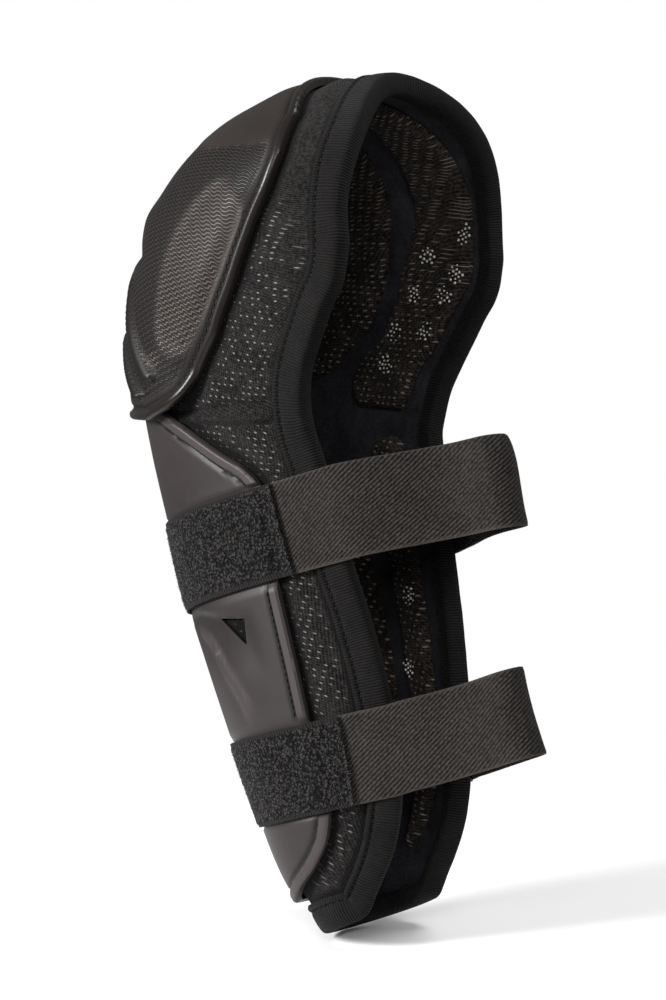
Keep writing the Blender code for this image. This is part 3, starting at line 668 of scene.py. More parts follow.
class Finish:
    """One material's nodes, from its first coordinate to its shader."""

    def __init__(self, name, roughness=0.6, colour=(0.05, 0.05, 0.05), **fixed):
        self.material = bpy.data.materials.new(name)
        self.material.use_nodes = True
        self.tree = self.material.node_tree
        self.shader = self.tree.nodes["Principled BSDF"]
        self.shader.inputs["Roughness"].default_value = roughness
        self.shader.inputs["Base Color"].default_value = (*colour, 1.0)
        for socket, value in fixed.items():
            self.shader.inputs[socket.replace("_", " ")].default_value = value
        self.material.diffuse_color = (*colour, 1.0)

    def node(self, kind, settings=None, inputs=None):
        """Adds a node: its settings first, then the values or links of its sockets."""
        made = self.tree.nodes.new(kind)
        for name, value in (settings or {}).items():
            setattr(made, name, value)
        for key, value in (inputs or {}).items():
            self.feed(made.inputs[key], value)
        return made

    def feed(self, socket, value):
        if isinstance(value, Wire):
            value = value.socket
        if isinstance(value, bpy.types.NodeSocket):
            self.tree.links.new(value, socket)
        elif isinstance(value, (tuple, list)) and len(value) == 3 and socket.type == "RGBA":
            socket.default_value = (*value, 1.0)
        else:
            socket.default_value = value

    def one(self, operation, value, other=0.5):
        made = self.node("ShaderNodeMath", {"operation": operation}, {0: value, 1: other})
        return Wire(self, made.outputs[0])

    def map(self):
        """The piece's own map, in metres: along and down."""
        split = self.node("ShaderNodeSeparateXYZ", {}, {0: self.flat_map()})
        return Wire(self, split.outputs[0]), Wire(self, split.outputs[1])

    def flat_map(self):
        return self.node("ShaderNodeUVMap", {"uv_map": "UVMap"}).outputs[0]

    def place(self):
        return self.node("ShaderNodeTexCoord").outputs["Object"]

    def attribute(self, name):
        made = self.node("ShaderNodeAttribute", {"attribute_name": name})
        return Wire(self, made.outputs["Fac"])

    def vector(self, x, y, z=0.0):
        return self.node("ShaderNodeCombineXYZ", {}, {0: x, 1: y, 2: z}).outputs[0]

    def noise(self, vector, size, detail=2.0, rough=0.5):
        """Smooth noise round 0.5; size is its grain in metres."""
        made = self.node(
            "ShaderNodeTexNoise", {},
            {"Vector": vector, "Scale": 1 / size, "Detail": detail, "Roughness": rough},
        )
        return Wire(self, made.outputs["Fac"])

    def chance(self, x, y):
        """A fixed random number for each pair of whole numbers."""
        made = self.node(
            "ShaderNodeTexWhiteNoise", {"noise_dimensions": "2D"}, {"Vector": self.vector(x, y)}
        )
        return Wire(self, made.outputs["Value"])

    def step(self, value, low, high):
        """Soft step from 0 at low to 1 at high; high may be the smaller."""
        made = self.node(
            "ShaderNodeMapRange", {"interpolation_type": "SMOOTHSTEP", "clamp": True},
            {"Value": value, "From Min": low, "From Max": high},
        )
        if low > high:
            self.feed(made.inputs["From Min"], high)
            self.feed(made.inputs["From Max"], low)
            return 1 - Wire(self, made.outputs["Result"])
        return Wire(self, made.outputs["Result"])

    def blend(self, share, first, second):
        """A colour between two, by a share from 0 to 1."""
        made = self.node("ShaderNodeMix", {"data_type": "RGBA"})
        self.feed(made.inputs["Factor"], share)
        self.feed(made.inputs["A"] if made.inputs["A"].type == "RGBA" else made.inputs[6], first)
        self.feed(made.inputs["B"] if made.inputs["B"].type == "RGBA" else made.inputs[7], second)
        return made.outputs[2]

    def colour(self, value):
        self.feed(self.shader.inputs["Base Color"], value)

    def roughness(self, value):
        self.feed(self.shader.inputs["Roughness"], value)

    def relief(self, height, depth, strength=1.0):
        """Bump of the given depth in metres."""
        bump = self.node(
            "ShaderNodeBump", {}, {"Strength": strength, "Distance": depth, "Height": height}
        )
        self.feed(self.shader.inputs["Normal"], bump.outputs[0])

    def eyelets(self, pitch, rise, size, keep):
        """Staggered small holes: 1 in each hole that shows, with a fixed random weight."""
        x, y = self.map()
        row = self.one("FLOOR", y / rise)
        column = x / pitch + (row % 2) * 0.5
        cell = self.one("FLOOR", column)
        chance = self.chance(cell, row)
        off_x = ((column - cell) - 0.5) * pitch + (chance - 0.5) * pitch * 0.25
        off_y = ((y / rise - row) - 0.5) * rise
        slanted = off_x + off_y * 0.5
        reach = self.one("SQRT", slanted * slanted * 0.6 + off_y * off_y * 1.4)
        hole = self.step(reach, size, size * 0.35)
        return hole * self.step(self.chance(row, cell), 1 - keep, 1 - keep + 0.25)


def tint(colour, share):
    """A colour made darker or lighter."""
    return tuple(part * share for part in colour)


def knit_finish(name, base, dot, pitch, keep, size, plain=None):
    """Air mesh: a coarse dark knit with staggered eyelets painted pale as a painted highlight."""
    finish = Finish(name, 0.85, base, Sheen_Weight=0.02, Specular_IOR_Level=0.10)
    place = finish.place()
    fine = finish.noise(place, 0.0015, 3.0, 0.7)
    broad = finish.noise(place, 0.012, 2.0)
    x, y = finish.map()
    rows = finish.one("SINE", (x + y * 0.6) * (2 * math.pi / (pitch * 0.62)))
    columns = finish.one("SINE", (x * 0.6 - y) * (2 * math.pi / (pitch * 0.54)))
    weave = rows * columns * 0.5 + 0.5
    holes = finish.eyelets(pitch, pitch * 0.8, size, keep)
    if plain:
        holes = holes * (1 - finish.attribute(plain))
    shade = finish.step(fine * 0.75 + weave * 0.22 + broad * 0.20, 0.44, 0.80)
    colour = finish.blend(shade, tint(base, 0.22), tint(base, 3.2))
    # The eyelets' pale dot colour is a painted highlight where they catch the light.
    colour = finish.blend(holes, colour, dot)
    if plain:
        # Painted shadow: the seam mask darkens the mesh beside the cap, the plate and the binding,
        # and under the plate.
        colour = finish.blend(finish.attribute("seam") * 0.85, colour, tint(base, 0.12))
    finish.colour(colour)
    finish.roughness(0.9 - holes * 0.45)
    finish.relief(fine * 0.5 + weave * 0.5 - holes * 0.5, 0.0006, 1.0)
    return finish.material


def binding_finish(colour):
    """Ribbed knitted tape: fine ribs across its length, and soft random tone."""
    finish = Finish("binding_tape", 0.8, colour, Sheen_Weight=0.02, Specular_IOR_Level=0.10)
    x, _ = finish.map()
    place = finish.place()
    fine = finish.noise(place, 0.0014, 3.0, 0.7)
    broad = finish.noise(place, 0.010, 3.0)
    ribs = finish.one("SINE", (x + broad * 0.0012) * (2 * math.pi / BINDING_RIB_PITCH)) * 0.5 + 0.5
    shade = finish.step(ribs * 0.32 + fine * 0.6 + broad * 0.35, 0.36, 0.92)
    finish.colour(finish.blend(shade, tint(colour, 0.28), tint(colour, 2.6)))
    finish.relief(ribs * 0.7 + fine * 0.5, 0.0005, 1.0)
    return finish.material


def cap_finish(colour):
    """Moulded shell: zigzag wave relief below the smooth top, and a glossy raised rim. Painted
    highlights on the side facet and the wave crests; painted shade in the wave hollows, the groove
    and the notch.
    """
    finish = Finish("cap_moulding", 0.38, colour, Coat_Roughness=0.25, Specular_IOR_Level=0.22)
    x, y = finish.map()
    place = finish.place()
    waves = finish.attribute("waves")
    rim = finish.attribute("rim")
    groove = finish.attribute("groove")
    # facet: a painted highlight on the cap's side facet and a small glint beside the claws.
    facet = finish.attribute("facet")
    broad = finish.noise(place, 0.030, 2.0)
    fine = finish.noise(place, 0.0014, 3.0, 0.6)
    line = (y + x * 0.10) / WAVE_ROW
    phase = x / WAVE_PERIOD + line * 0.30
    swing = finish.one("ABSOLUTE", (phase % 1.0) * 2.0 - 1.0)
    swing = finish.step(swing, 0.22, 0.78)
    level = (line + swing * 0.66) % 1.0
    ridge = finish.one("ABSOLUTE", level * 2.0 - 1.0)
    crest = finish.step(ridge, 0.32, 0.82)
    cut = (1 - crest) * waves
    base = finish.blend(finish.step(broad, 0.3, 0.75), tint(colour, 1.1), tint(colour, 1.5))
    # Painted highlight: the facet mask lightens the side facet.
    base = finish.blend(facet, base, tint(colour, 5.4))
    base = finish.blend(rim * 0.6, base, tint(colour, 0.45))
    base = finish.blend(finish.attribute("claw") * 0.9, base, tint(colour, 0.25))
    # Painted highlight on the wave crests, strongest on the facet, and painted shade in the wave
    # hollows.
    base = finish.blend(crest * waves * (0.10 + facet * 0.6), base, tint(colour, 6.0))
    base = finish.blend(cut, base, tint(colour, 0.06))
    # Painted shade in the sewn groove inside the rim and in the notch.
    base = finish.blend(groove, base, (0.002, 0.002, 0.002))
    finish.colour(base)
    finish.roughness(0.42 - rim * 0.14 - facet * 0.06 + cut * 0.2 + groove * 0.4 + fine * 0.06)
    finish.relief(crest * waves + fine * 0.10, WAVE_RELIEF, 1.0)
    return finish.material


def plate_finish(colour):
    """Smooth moulding with a faint grain and a lighter raised border; painted highlight on the
    swoosh ridges, painted shade in the scoops and the sewn groove.
    """
    finish = Finish("plate_moulding", 0.45, colour, Specular_IOR_Level=0.22)
    place = finish.place()
    groove = finish.attribute("groove")
    border = finish.attribute("border")
    fine = finish.noise(place, 0.0012, 3.0, 0.6)
    broad = finish.noise(place, 0.035, 3.0)
    scuff = finish.noise(place, 0.0040, 4.0, 0.7)
    base = finish.blend(finish.step(broad, 0.3, 0.7), tint(colour, 0.85), tint(colour, 1.12))
    base = finish.blend(finish.attribute("shade") * 0.65, base, tint(colour, 0.40))
    # The border mask also carries the painted highlight on the swoosh ridges.
    base = finish.blend(border, base, tint(colour, 1.6))
    # Painted shade in the sewn groove.
    base = finish.blend(groove, base, (0.002, 0.002, 0.002))
    finish.colour(base)
    finish.roughness(0.42 + broad * 0.08 + finish.step(scuff, 0.55, 0.75) * 0.08)
    finish.relief(fine, 0.00006, 0.6)
    return finish.material


def pile_finish(colour):
    """Loop pile: a coarse fuzzy speckle, with smooth woven selvedges along its edges."""
    finish = Finish("loop_pile", 0.95, colour, Sheen_Weight=0.03, Specular_IOR_Level=0.10)
    x, _ = finish.map()
    place = finish.place()
    tufts = finish.node(
        "ShaderNodeTexVoronoi", {"feature": "F1"}, {"Vector": place, "Scale": 1 / PILE_TUFT_SIZE}
    )
    tufts = Wire(finish, tufts.outputs["Distance"])
    fine = finish.noise(place, 0.0010, 2.0, 0.8)
    broad = finish.noise(place, 0.006, 3.0)
    edge = finish.attribute("selvedge")
    ribs = finish.one("SINE", x * (2 * math.pi / SELVEDGE_RIB_PITCH)) * 0.5 + 0.5
    shade = finish.step((1 - tufts) * 0.5 + fine * 0.8 + broad * 0.2, 0.70, 0.98)
    pile = finish.blend(shade, tint(colour, 0.10), tint(colour, 7.0))
    woven = finish.blend(ribs * 0.6 + fine * 0.4, tint(colour, 0.5), tint(colour, 3.4))
    finish.colour(finish.blend(edge, pile, woven))
    finish.relief(((1 - tufts) * 0.8 + fine) * (1 - edge * 0.7) + ribs * edge * 0.3, 0.0011)
    return finish.material


def web_finish(colour):
    """Elastic twill webbing: slanted ridges, each broken into short floats, and firm edges."""
    finish = Finish("elastic_web", 0.7, colour, Sheen_Weight=0.02, Specular_IOR_Level=0.12)
    x, y = finish.map()
    place = finish.place()
    edge = finish.attribute("selvedge")
    fine = finish.noise(place, 0.0012, 3.0, 0.7)
    broad = finish.noise(place, 0.015, 2.0)
    slant = (x * 0.53 + y * 0.85) / TWILL_PITCH
    ridge = finish.one("SINE", slant * (2 * math.pi)) * 0.5 + 0.5
    row = finish.one("FLOOR", slant + 0.25)
    float_part = finish.one("SINE", (x / TWILL_FLOAT + row * 0.37) * (2 * math.pi)) * 0.5 + 0.5
    body = ridge * (0.72 + float_part * 0.28)
    shade = finish.step(body * 0.32 + fine * 0.90 + broad * 0.15, 0.42, 0.98)
    web = finish.blend(shade, tint(colour, 0.16), tint(colour, 2.7))
    rim = finish.blend(fine, colour, tint(colour, 3.4))
    finish.colour(finish.blend(edge, web, rim))
    finish.relief(body * (1 - edge) + edge * 0.8, 0.00045, 1.0)
    return finish.material


def lining_finish(colour):
    """Smooth brushed lining, blue-black, with soft rucks."""
    finish = Finish("lining", 0.8, colour, Sheen_Weight=0.01, Specular_IOR_Level=0.10)
    place = finish.place()
    fine = finish.noise(place, 0.0014, 2.0, 0.7)
    broad = finish.noise(place, 0.014, 3.0)
    shade = finish.step(fine * 0.5 + broad * 0.5, 0.3, 0.75)
    finish.colour(finish.blend(shade, tint(colour, 0.5), tint(colour, 2.0)))
    finish.relief(fine * 0.3 + broad, 0.0008, 0.8)
    return finish.material


def thread_finish(name, colour, roughness=0.6):
    """Twisted thread."""
    finish = Finish(name, roughness, colour, Specular_IOR_Level=0.2)
    fine = finish.noise(finish.place(), 0.0003, 2.0, 0.8)
    finish.colour(finish.blend(fine, tuple(part * 0.6 for part in colour), colour))
    finish.relief(fine, 0.0001, 0.5)
    return finish.material


def dot_finish(colour):
    """Clear silicone grip dots over dark fabric: glossy, a little milky, and painted pale as a
    painted highlight.
    """
    finish = Finish("grip_silicone", 0.14, colour, Coat_Weight=1.0, Coat_Roughness=0.06)
    fine = finish.noise(finish.place(), 0.0010, 2.0, 0.6)
    finish.colour(finish.blend(fine, tuple(part * 0.55 for part in colour), colour))
    finish.relief(fine, 0.0001, 0.4)
    return finish.material


def hook_finish(colour):
    """A hook patch: short stiff hooks in rows."""
    finish = Finish("hook_moulding", 0.5, colour)
    cells = finish.node(
        "ShaderNodeTexVoronoi", {"feature": "F1"},
        {"Vector": finish.place(), "Scale": 1 / 0.0009, "Randomness": 0.35},
    )
    cells = Wire(finish, cells.outputs["Distance"])
    tips = finish.step(cells, 0.45, 0.15)
    finish.colour(finish.blend(tips, tuple(part * 0.4 for part in colour), colour))
    finish.relief(tips, 0.0006)
    return finish.material


def set_weights(piece, name, values, count):
    """Writes one number per vertex of the grid, for both faces, as an attribute."""
    total = len(piece.data.vertices)
    spread = np.resize(values[::-1].ravel(), total) if total == 2 * count else None
    if spread is None:
        raise RuntimeError(f"{piece.name} has {total} vertices, not {2 * count}")
    made = piece.data.attributes.new(name, "FLOAT", "POINT")
    made.data.foreach_set("value", spread.astype(np.float32))


# Settings


def colour_choice(name, description, default):
    return bpy.props.FloatVectorProperty(
        name=name, description=description, default=default, subtype="COLOR", min=0.0, max=1.0
    )


def length_choice(name, description, default, low, high):
    return bpy.props.FloatProperty(
        name=name, description=description, default=default, min=low, max=high, unit="LENGTH"
    )


class GuardColours(bpy.types.PropertyGroup):
    mesh: colour_choice("Air mesh", "Colour of the outer mesh", (0.0070, 0.0063, 0.0061))
    liner: colour_choice(
        "Liner mesh", "Colour of the mesh over the inner pads", (0.0120, 0.0098, 0.0084)
    )
    lining: colour_choice(
        "Lining", "Colour of the smooth lining between the pads", (0.0150, 0.0150, 0.0180)
    )
    binding: colour_choice("Binding", "Colour of the edge binding", (0.0034, 0.0030, 0.0029))
    cap: colour_choice("Knee cap", "Colour of the moulded knee cap", (0.0128, 0.0102, 0.0092))
    plate: colour_choice("Shin plate", "Colour of the moulded shin plate", (0.0215, 0.0175, 0.0175))
    tape: colour_choice("Loop tape", "Colour of the loop pile tapes", (0.0050, 0.0046, 0.0045))
    strap: colour_choice("Elastic strap", "Colour of the elastic webbing", (0.0132, 0.0112, 0.0100))


class GuardSizes(bpy.types.PropertyGroup):
    facet_depth: length_choice(
        "Facet depth", "How far the cap's side facet lies below its dome", 0.0011, 0.0, 0.003,
    )
    claw_height: length_choice(
        "Claw height", "Height of the claw ribs on the cap", 0.0036, 0.0, 0.005,
    )
    bead_height: length_choice(
        "Rim height", "Height of the cap's raised rim", 0.0016, 0.0, 0.004,
    )
    border_height: length_choice(
        "Border height", "Height of the plate's raised border", 0.0012, 0.0, 0.003,
    )
    pad_height: length_choice(
        "Pad height", "Height of the inner pads before they swell", 0.0052, 0.001, 0.008,
    )
    swell: length_choice(
        "Pad swell", "The most that an inner pad swells", 0.0014, 0.0, 0.003,
    )
    stitch_pitch: length_choice(
        "Stitch pitch", "Distance from one stitch to the next", 0.0030, 0.001, 0.008,
    )
    fuzz_length: length_choice(
        "Loop length", "Length of the loose loops on the tapes", 0.0011, 0.0, 0.003,
    )


def sizes():
    return bpy.context.scene.guard_sizes


def colours():
    return bpy.context.scene.guard_colours


# Pieces


def body_lift(down, across, points, edge):
    """Lift of the outer mesh: full between its seams, drawn in at the seams and the crease."""
    inset = edge - BINDING_WIDTH - 0.0015
    lift = -EDGE_DIP * (1 - smooth(inset / 0.012))
    side = np.abs(across)
    free = smooth(inset / 0.010)
    cap_gap = distance_to_line(points, CAP_LINE)
    plate_gap = distance_to_line(points, PLATE_LINE)
    inside_cap = (side < curve_through(CAP_OUTLINE, down)) & (down > 0.09) & (down < 0.527)
    inside_plate = (side < curve_through(PLATE_OUTLINE, down)) & (down > 0.47) & (down < 0.96)
    covered = inside_cap | inside_plate
    gap = np.where(covered, 0.0, np.minimum(cap_gap, plate_gap))
    puff = smooth(gap / 0.010) * free
    lift = lift + 0.0012 * puff
    lift = lift + puff * (0.0006 * ripple(points, 0.019) + 0.0003 * ripple(points, 0.007, 5.0))
    top = (down - curve_through(CREASE_TOP, side)) / share_down(down, across, 1.0)
    low = (down - curve_through(CREASE_LOW, side)) / share_down(down, across, 1.0)
    beside = smooth((side - 0.45) / 0.10) * smooth((inset + 0.002) / 0.006)
    roll = bell((top + low) / 2 / 0.0045)
    lift = lift - beside * (0.0030 * bell(top / 0.0020) + 0.0026 * bell(low / 0.0020))
    lift = lift + beside * 0.0006 * roll * (1 + 0.6 * ripple(points, 0.005, 9.0))
    rucks = ripple(points * np.array([1.0, 1.0, 0.35]), 0.0042, 3.0)
    near_crease = smooth(1 - np.abs(top + 0.008) / 0.014) * beside
    return lift + 0.0007 * rucks * near_crease * puff


class GUARD_OT_body(bpy.types.Operator):
    """Makes the padded body: outer mesh over foam, with a smooth lining inside"""

    bl_idname = "guard.body"
    bl_label = "Padded body"

    def execute(self, context):
        look = colours()
        # The pale eyelet colour here is a painted highlight.
        outside = knit_finish(
            "knit_mesh", tuple(look.mesh), (0.135, 0.127, 0.122), EYELET_PITCH, 0.74, 0.00068,
            plain="plain",
        )
        inside = lining_finish(tuple(look.lining))
        downs = np.linspace(0.0, 1.0, 236)
        acrosses = np.linspace(-1.0, 1.0, 191)
        down, across = np.meshgrid(downs, acrosses, indexing="ij")
        points = guide_point(down, across)
        edge = distance_to_line(points, EDGE_LINE)
        lift = body_lift(down, across, points, edge)
        side = np.abs(across)
        rucked = 0.0004 * ripple(points, 0.012, 7.0) * smooth(edge / 0.02)
        outer = points + lift[..., None] * normal_at(down, across)
        inner = on_guard(down, across, -BODY_WALL + np.minimum(rucked, 0.0003))
        piece = layer("body_mesh", outer, inner, (outside, inside), guide_map(down, across))
        top = curve_through(CREASE_TOP, side)
        low = curve_through(CREASE_LOW, side)
        band = smooth((down - top + 0.012) / 0.012) * smooth((low + 0.004 - down) / 0.008)
        upper = smooth((0.19 - down) / 0.06) * smooth((0.86 - side) / 0.12)
        plain = np.maximum(np.maximum(band, upper), smooth((0.0185 - edge) / 0.002))
        set_weights(piece, "plain", plain, down.size)
        # The seam mask is a painted shadow: dark beside the cap, the plate and the binding, and
        # under the plate.
        gap = np.minimum(distance_to_line(points, CAP_LINE), distance_to_line(points, PLATE_LINE))
        seam = np.maximum(smooth((0.0058 - gap) / 0.0035), smooth((0.0165 - edge) / 0.0020))
        covered = (side < curve_through(PLATE_OUTLINE, down)) & (down > 0.50) & (down < 0.95)
        seam = np.maximum(seam, covered)
        set_weights(piece, "seam", seam, down.size)
        add_piece(piece, ("padded_body",))
        return {"FINISHED"}


def nearest_places(target, down, across):
    """Places on the guide surface nearest to points, starting from places close by."""
    for _ in range(8):
        down_slope, across_slope = slopes_at(down, across)
        off = target - guide_point(down, across)
        dd = (down_slope**2).sum(-1)
        aa = (across_slope**2).sum(-1)
        da = (down_slope * across_slope).sum(-1)
        rd = (down_slope * off).sum(-1)
        ra = (across_slope * off).sum(-1)
        scale = dd * aa - da * da + 1e-18
        down = np.clip(down + np.clip((rd * aa - ra * da) / scale, -0.05, 0.05), 0.0, 1.0)
        across = np.clip(across + np.clip((ra * dd - rd * da) / scale, -0.05, 0.05), -1.0, 1.0)
    return down, across


def even_border(pitch):
    """Places round the edge, a pitch apart, with points, directions and inward sides."""
    places = border_places(1500, 900)
    points = guide_point(places[:, 0], places[:, 1])
    legs = np.linalg.norm(np.roll(points, -1, axis=0) - points, axis=1)
    run = np.concatenate([[0], np.cumsum(legs)])
    count = int(round(run[-1] / pitch))
    marks = (np.arange(count) + 0.5) / count * run[-1]
    places = places[np.clip(np.searchsorted(run, marks) - 1, 0, len(places) - 1)]
    points = guide_point(places[:, 0], places[:, 1])
    for _ in range(3):
        points = (np.roll(points, 1, axis=0) + 2 * points + np.roll(points, -1, axis=0)) / 4
    ahead = unit(np.roll(points, -2, axis=0) - np.roll(points, 2, axis=0))
    normal = normal_at(places[:, 0], places[:, 1])
    for _ in range(6):
        normal = unit((np.roll(normal, 1, axis=0) + 2 * normal + np.roll(normal, -1, axis=0)) / 4)
    inward = unit(np.cross(normal, ahead))
    inner = guide_point(0.5 + (places[:, 0] - 0.5) * 0.9, places[:, 1] * 0.9) - points
    inward = inward * np.sign((inward * inner).sum(-1, keepdims=True))
    return places, points, ahead, normal, inward


def binding_profile():
    """In from the edge, then lift: the folded tape's section, from its outer hem round to it."""
    top = -EDGE_DIP + FOLD_GAP
    bottom = -BODY_WALL - FOLD_GAP
    thick = BINDING_THICKNESS
    middle = (top + bottom) / 2
    half = (top - bottom) / 2 + thick
    profile = [(BINDING_WIDTH, top), (BINDING_WIDTH + 0.0002, top + thick * 0.6)]
    hem = ((0.0010, 1.25), (0.0022, 1.2), (0.0030, 0.35), (0.0038, 0.95))
    profile += [(BINDING_WIDTH - back, top + thick * rise) for back, rise in hem]
    profile += [(inset, top + thick * (1.15 + 0.25 * math.sin(inset / 0.009 * math.pi)))
                for inset in (0.0078, 0.0060, 0.0042, 0.0024, 0.0010)]
    for turn in np.linspace(75, -75, 9):
        angle = math.radians(turn)
        profile.append((-(FOLD_GAP + thick) * math.cos(angle), middle + half * math.sin(angle)))
    profile += [(0.0012, bottom - thick), (0.0036, bottom - thick * 1.1)]
    profile += [(BINDING_INNER_WIDTH - 0.0006, bottom - thick)]
    profile += [(BINDING_INNER_WIDTH, bottom - thick * 0.5)]
    profile += [(BINDING_INNER_WIDTH, bottom), (0.0030, bottom), (-FOLD_GAP, bottom * 0.98)]
    profile += [(-FOLD_GAP, middle), (-FOLD_GAP, top), (0.0040, top), (0.0085, top)]
    return profile


class GUARD_OT_binding(bpy.types.Operator):
    """Makes the ribbed tape folded over the edge, as one closed ring"""

    bl_idname = "guard.binding"
    bl_label = "Edge binding"

    def execute(self, context):
        finish = binding_finish(tuple(colours().binding))
        places, points, _, normal, inward = even_border(BINDING_GRID)
        profile = binding_profile()
        count, corners = len(points), len(profile)
        spots = np.empty((count, corners, 3))
        tuck = ripple(points, 0.016, 2.0)
        for corner, (inset, lift) in enumerate(profile):
            lifts = np.full(count, lift)
            if lift > 0:
                lifts = lifts + 0.00022 * ripple(points, 0.006, 11.0 + corner * 0.2)
            if inset > 0:
                down, across = places[:, 0], places[:, 1]
                for step in (0.34, 0.67, 1.0):
                    reach = (inset + 0.0004 * tuck * (inset > 0.008)) * step
                    target = points + inward * reach[:, None]
                    down, across = nearest_places(target, down, across)
                spots[:, corner] = on_guard(down, across, lifts)
            else:
                spots[:, corner] = points + inset * inward + lifts[:, None] * normal
        for _ in range(2):
            spots = (np.roll(spots, 1, axis=0) + 2 * spots + np.roll(spots, -1, axis=0)) / 4
        closed = np.concatenate([spots, spots[:1]])
        closed = np.concatenate([closed, closed[:, :1]], axis=1)
        along = run_lengths(np.concatenate([points, points[:1]])[:, None], 0)
        around = run_lengths(closed[:1], 1)
        places_map = np.stack(np.broadcast_arrays(along, around), -1)
        piece = grid_piece("binding", closed, places_map)
        piece.data.materials.append(finish)
        merge_seams(piece)
        finish_shape(piece, 70)
        add_piece(piece, ("edge_binding",))
        seam = self.seam(places, points, inward)
        add_piece(seam)
        return {"FINISHED"}

    def seam(self, places, points, inward):
        """The row of stitches along the binding's hem."""
        pitch = sizes().stitch_pitch
        step = max(int(round(pitch / BINDING_GRID)), 1)
        pick = slice(0, len(points) - step, step)
        inset = BINDING_WIDTH - 0.0030
        target = points[pick] + inward[pick] * inset
        down, across = places[pick, 0], places[pick, 1]
        for part in (0.5, 1.0):
            goal = points[pick] + inward[pick] * inset * part
            down, across = nearest_places(goal, down, across)
        lift = -EDGE_DIP + FOLD_GAP + BINDING_THICKNESS * 0.62
        spots = on_guard(down, across, np.full(len(target), lift))
        ahead = unit(np.gradient(spots, axis=0))
        line = (spots, ahead, normal_at(down, across))
        finish = thread_finish("binding_thread", (0.005, 0.0045, 0.0045))
        return stitches("binding_stitches", [line], pitch * 0.62, 0.00034, finish)


def cap_inner_lift(down, across):
    """The shell's lift off the body: seated at its sides and top, standing off at its lip."""
    seat = SEAT_GAP + (CAP_LIP_LIFT - SEAT_GAP) * smooth((down - 0.445) / 0.055)
    dome = np.maximum(curve_through(CAP_DOME, down) * CAP_LIP_LIFT, seat)
    first = CAP_OUTLINE[0][0]
    from_side = (curve_through(CAP_OUTLINE, down) - np.abs(across)) / share_across(down, 1.0)
    from_top = (down - first) / share_down(down, across, 1.0)
    inset = np.minimum(from_side, from_top)
    return seat + (dome - seat) * smooth(inset / CAP_RISE_WIDTH)


def bent_line(ends, steps=24):
    """A curve of places from its start, pulled towards its middle, to its end."""
    part = np.linspace(0.0, 1.0, steps)[:, None]
    start, middle, end = (np.array(place) for place in ends)
    pull = 2 * middle - (start + end) / 2
    return (1 - part) ** 2 * start + 2 * part * (1 - part) * pull + part**2 * end


def along_line(points, line):
    """For each point: distance to a line in metres, and how far along the line, from 0 to 1."""
    flat = points.reshape(-1, 3)
    best = np.full(len(flat), 1e9)
    share = np.zeros(len(flat))
    for number, (start, end) in enumerate(zip(line[:-1], line[1:])):
        leg = end - start
        part = np.clip((flat - start) @ leg / float(leg @ leg), 0.0, 1.0)
        reach = np.linalg.norm(flat - start - part[:, None] * leg, axis=1)
        share = np.where(reach < best, (number + part) / (len(line) - 1), share)
        best = np.minimum(best, reach)
    return best.reshape(points.shape[:-1]), share.reshape(points.shape[:-1])


def claw_relief(points, side):
    """Height from 0 to 1 of the two claw blades on one side, with blunt lower ends."""
    height = np.zeros(points.shape[:-1])
    for start, middle, end, half in CLAWS:
        places = bent_line((start, middle, end))
        line = guide_point(places[:, 0], side * places[:, 1])
        reach, share = along_line(points, line)
        width = half * (0.35 + 0.65 * smooth(share * 1.6))
        blade = smooth((width - reach) / (width * 0.70)) * smooth(share / 0.25)
        blunt = smooth((1.0 - share) / 0.02)
        height = np.maximum(height, blade * blunt * (0.45 + 0.55 * share))
    return height


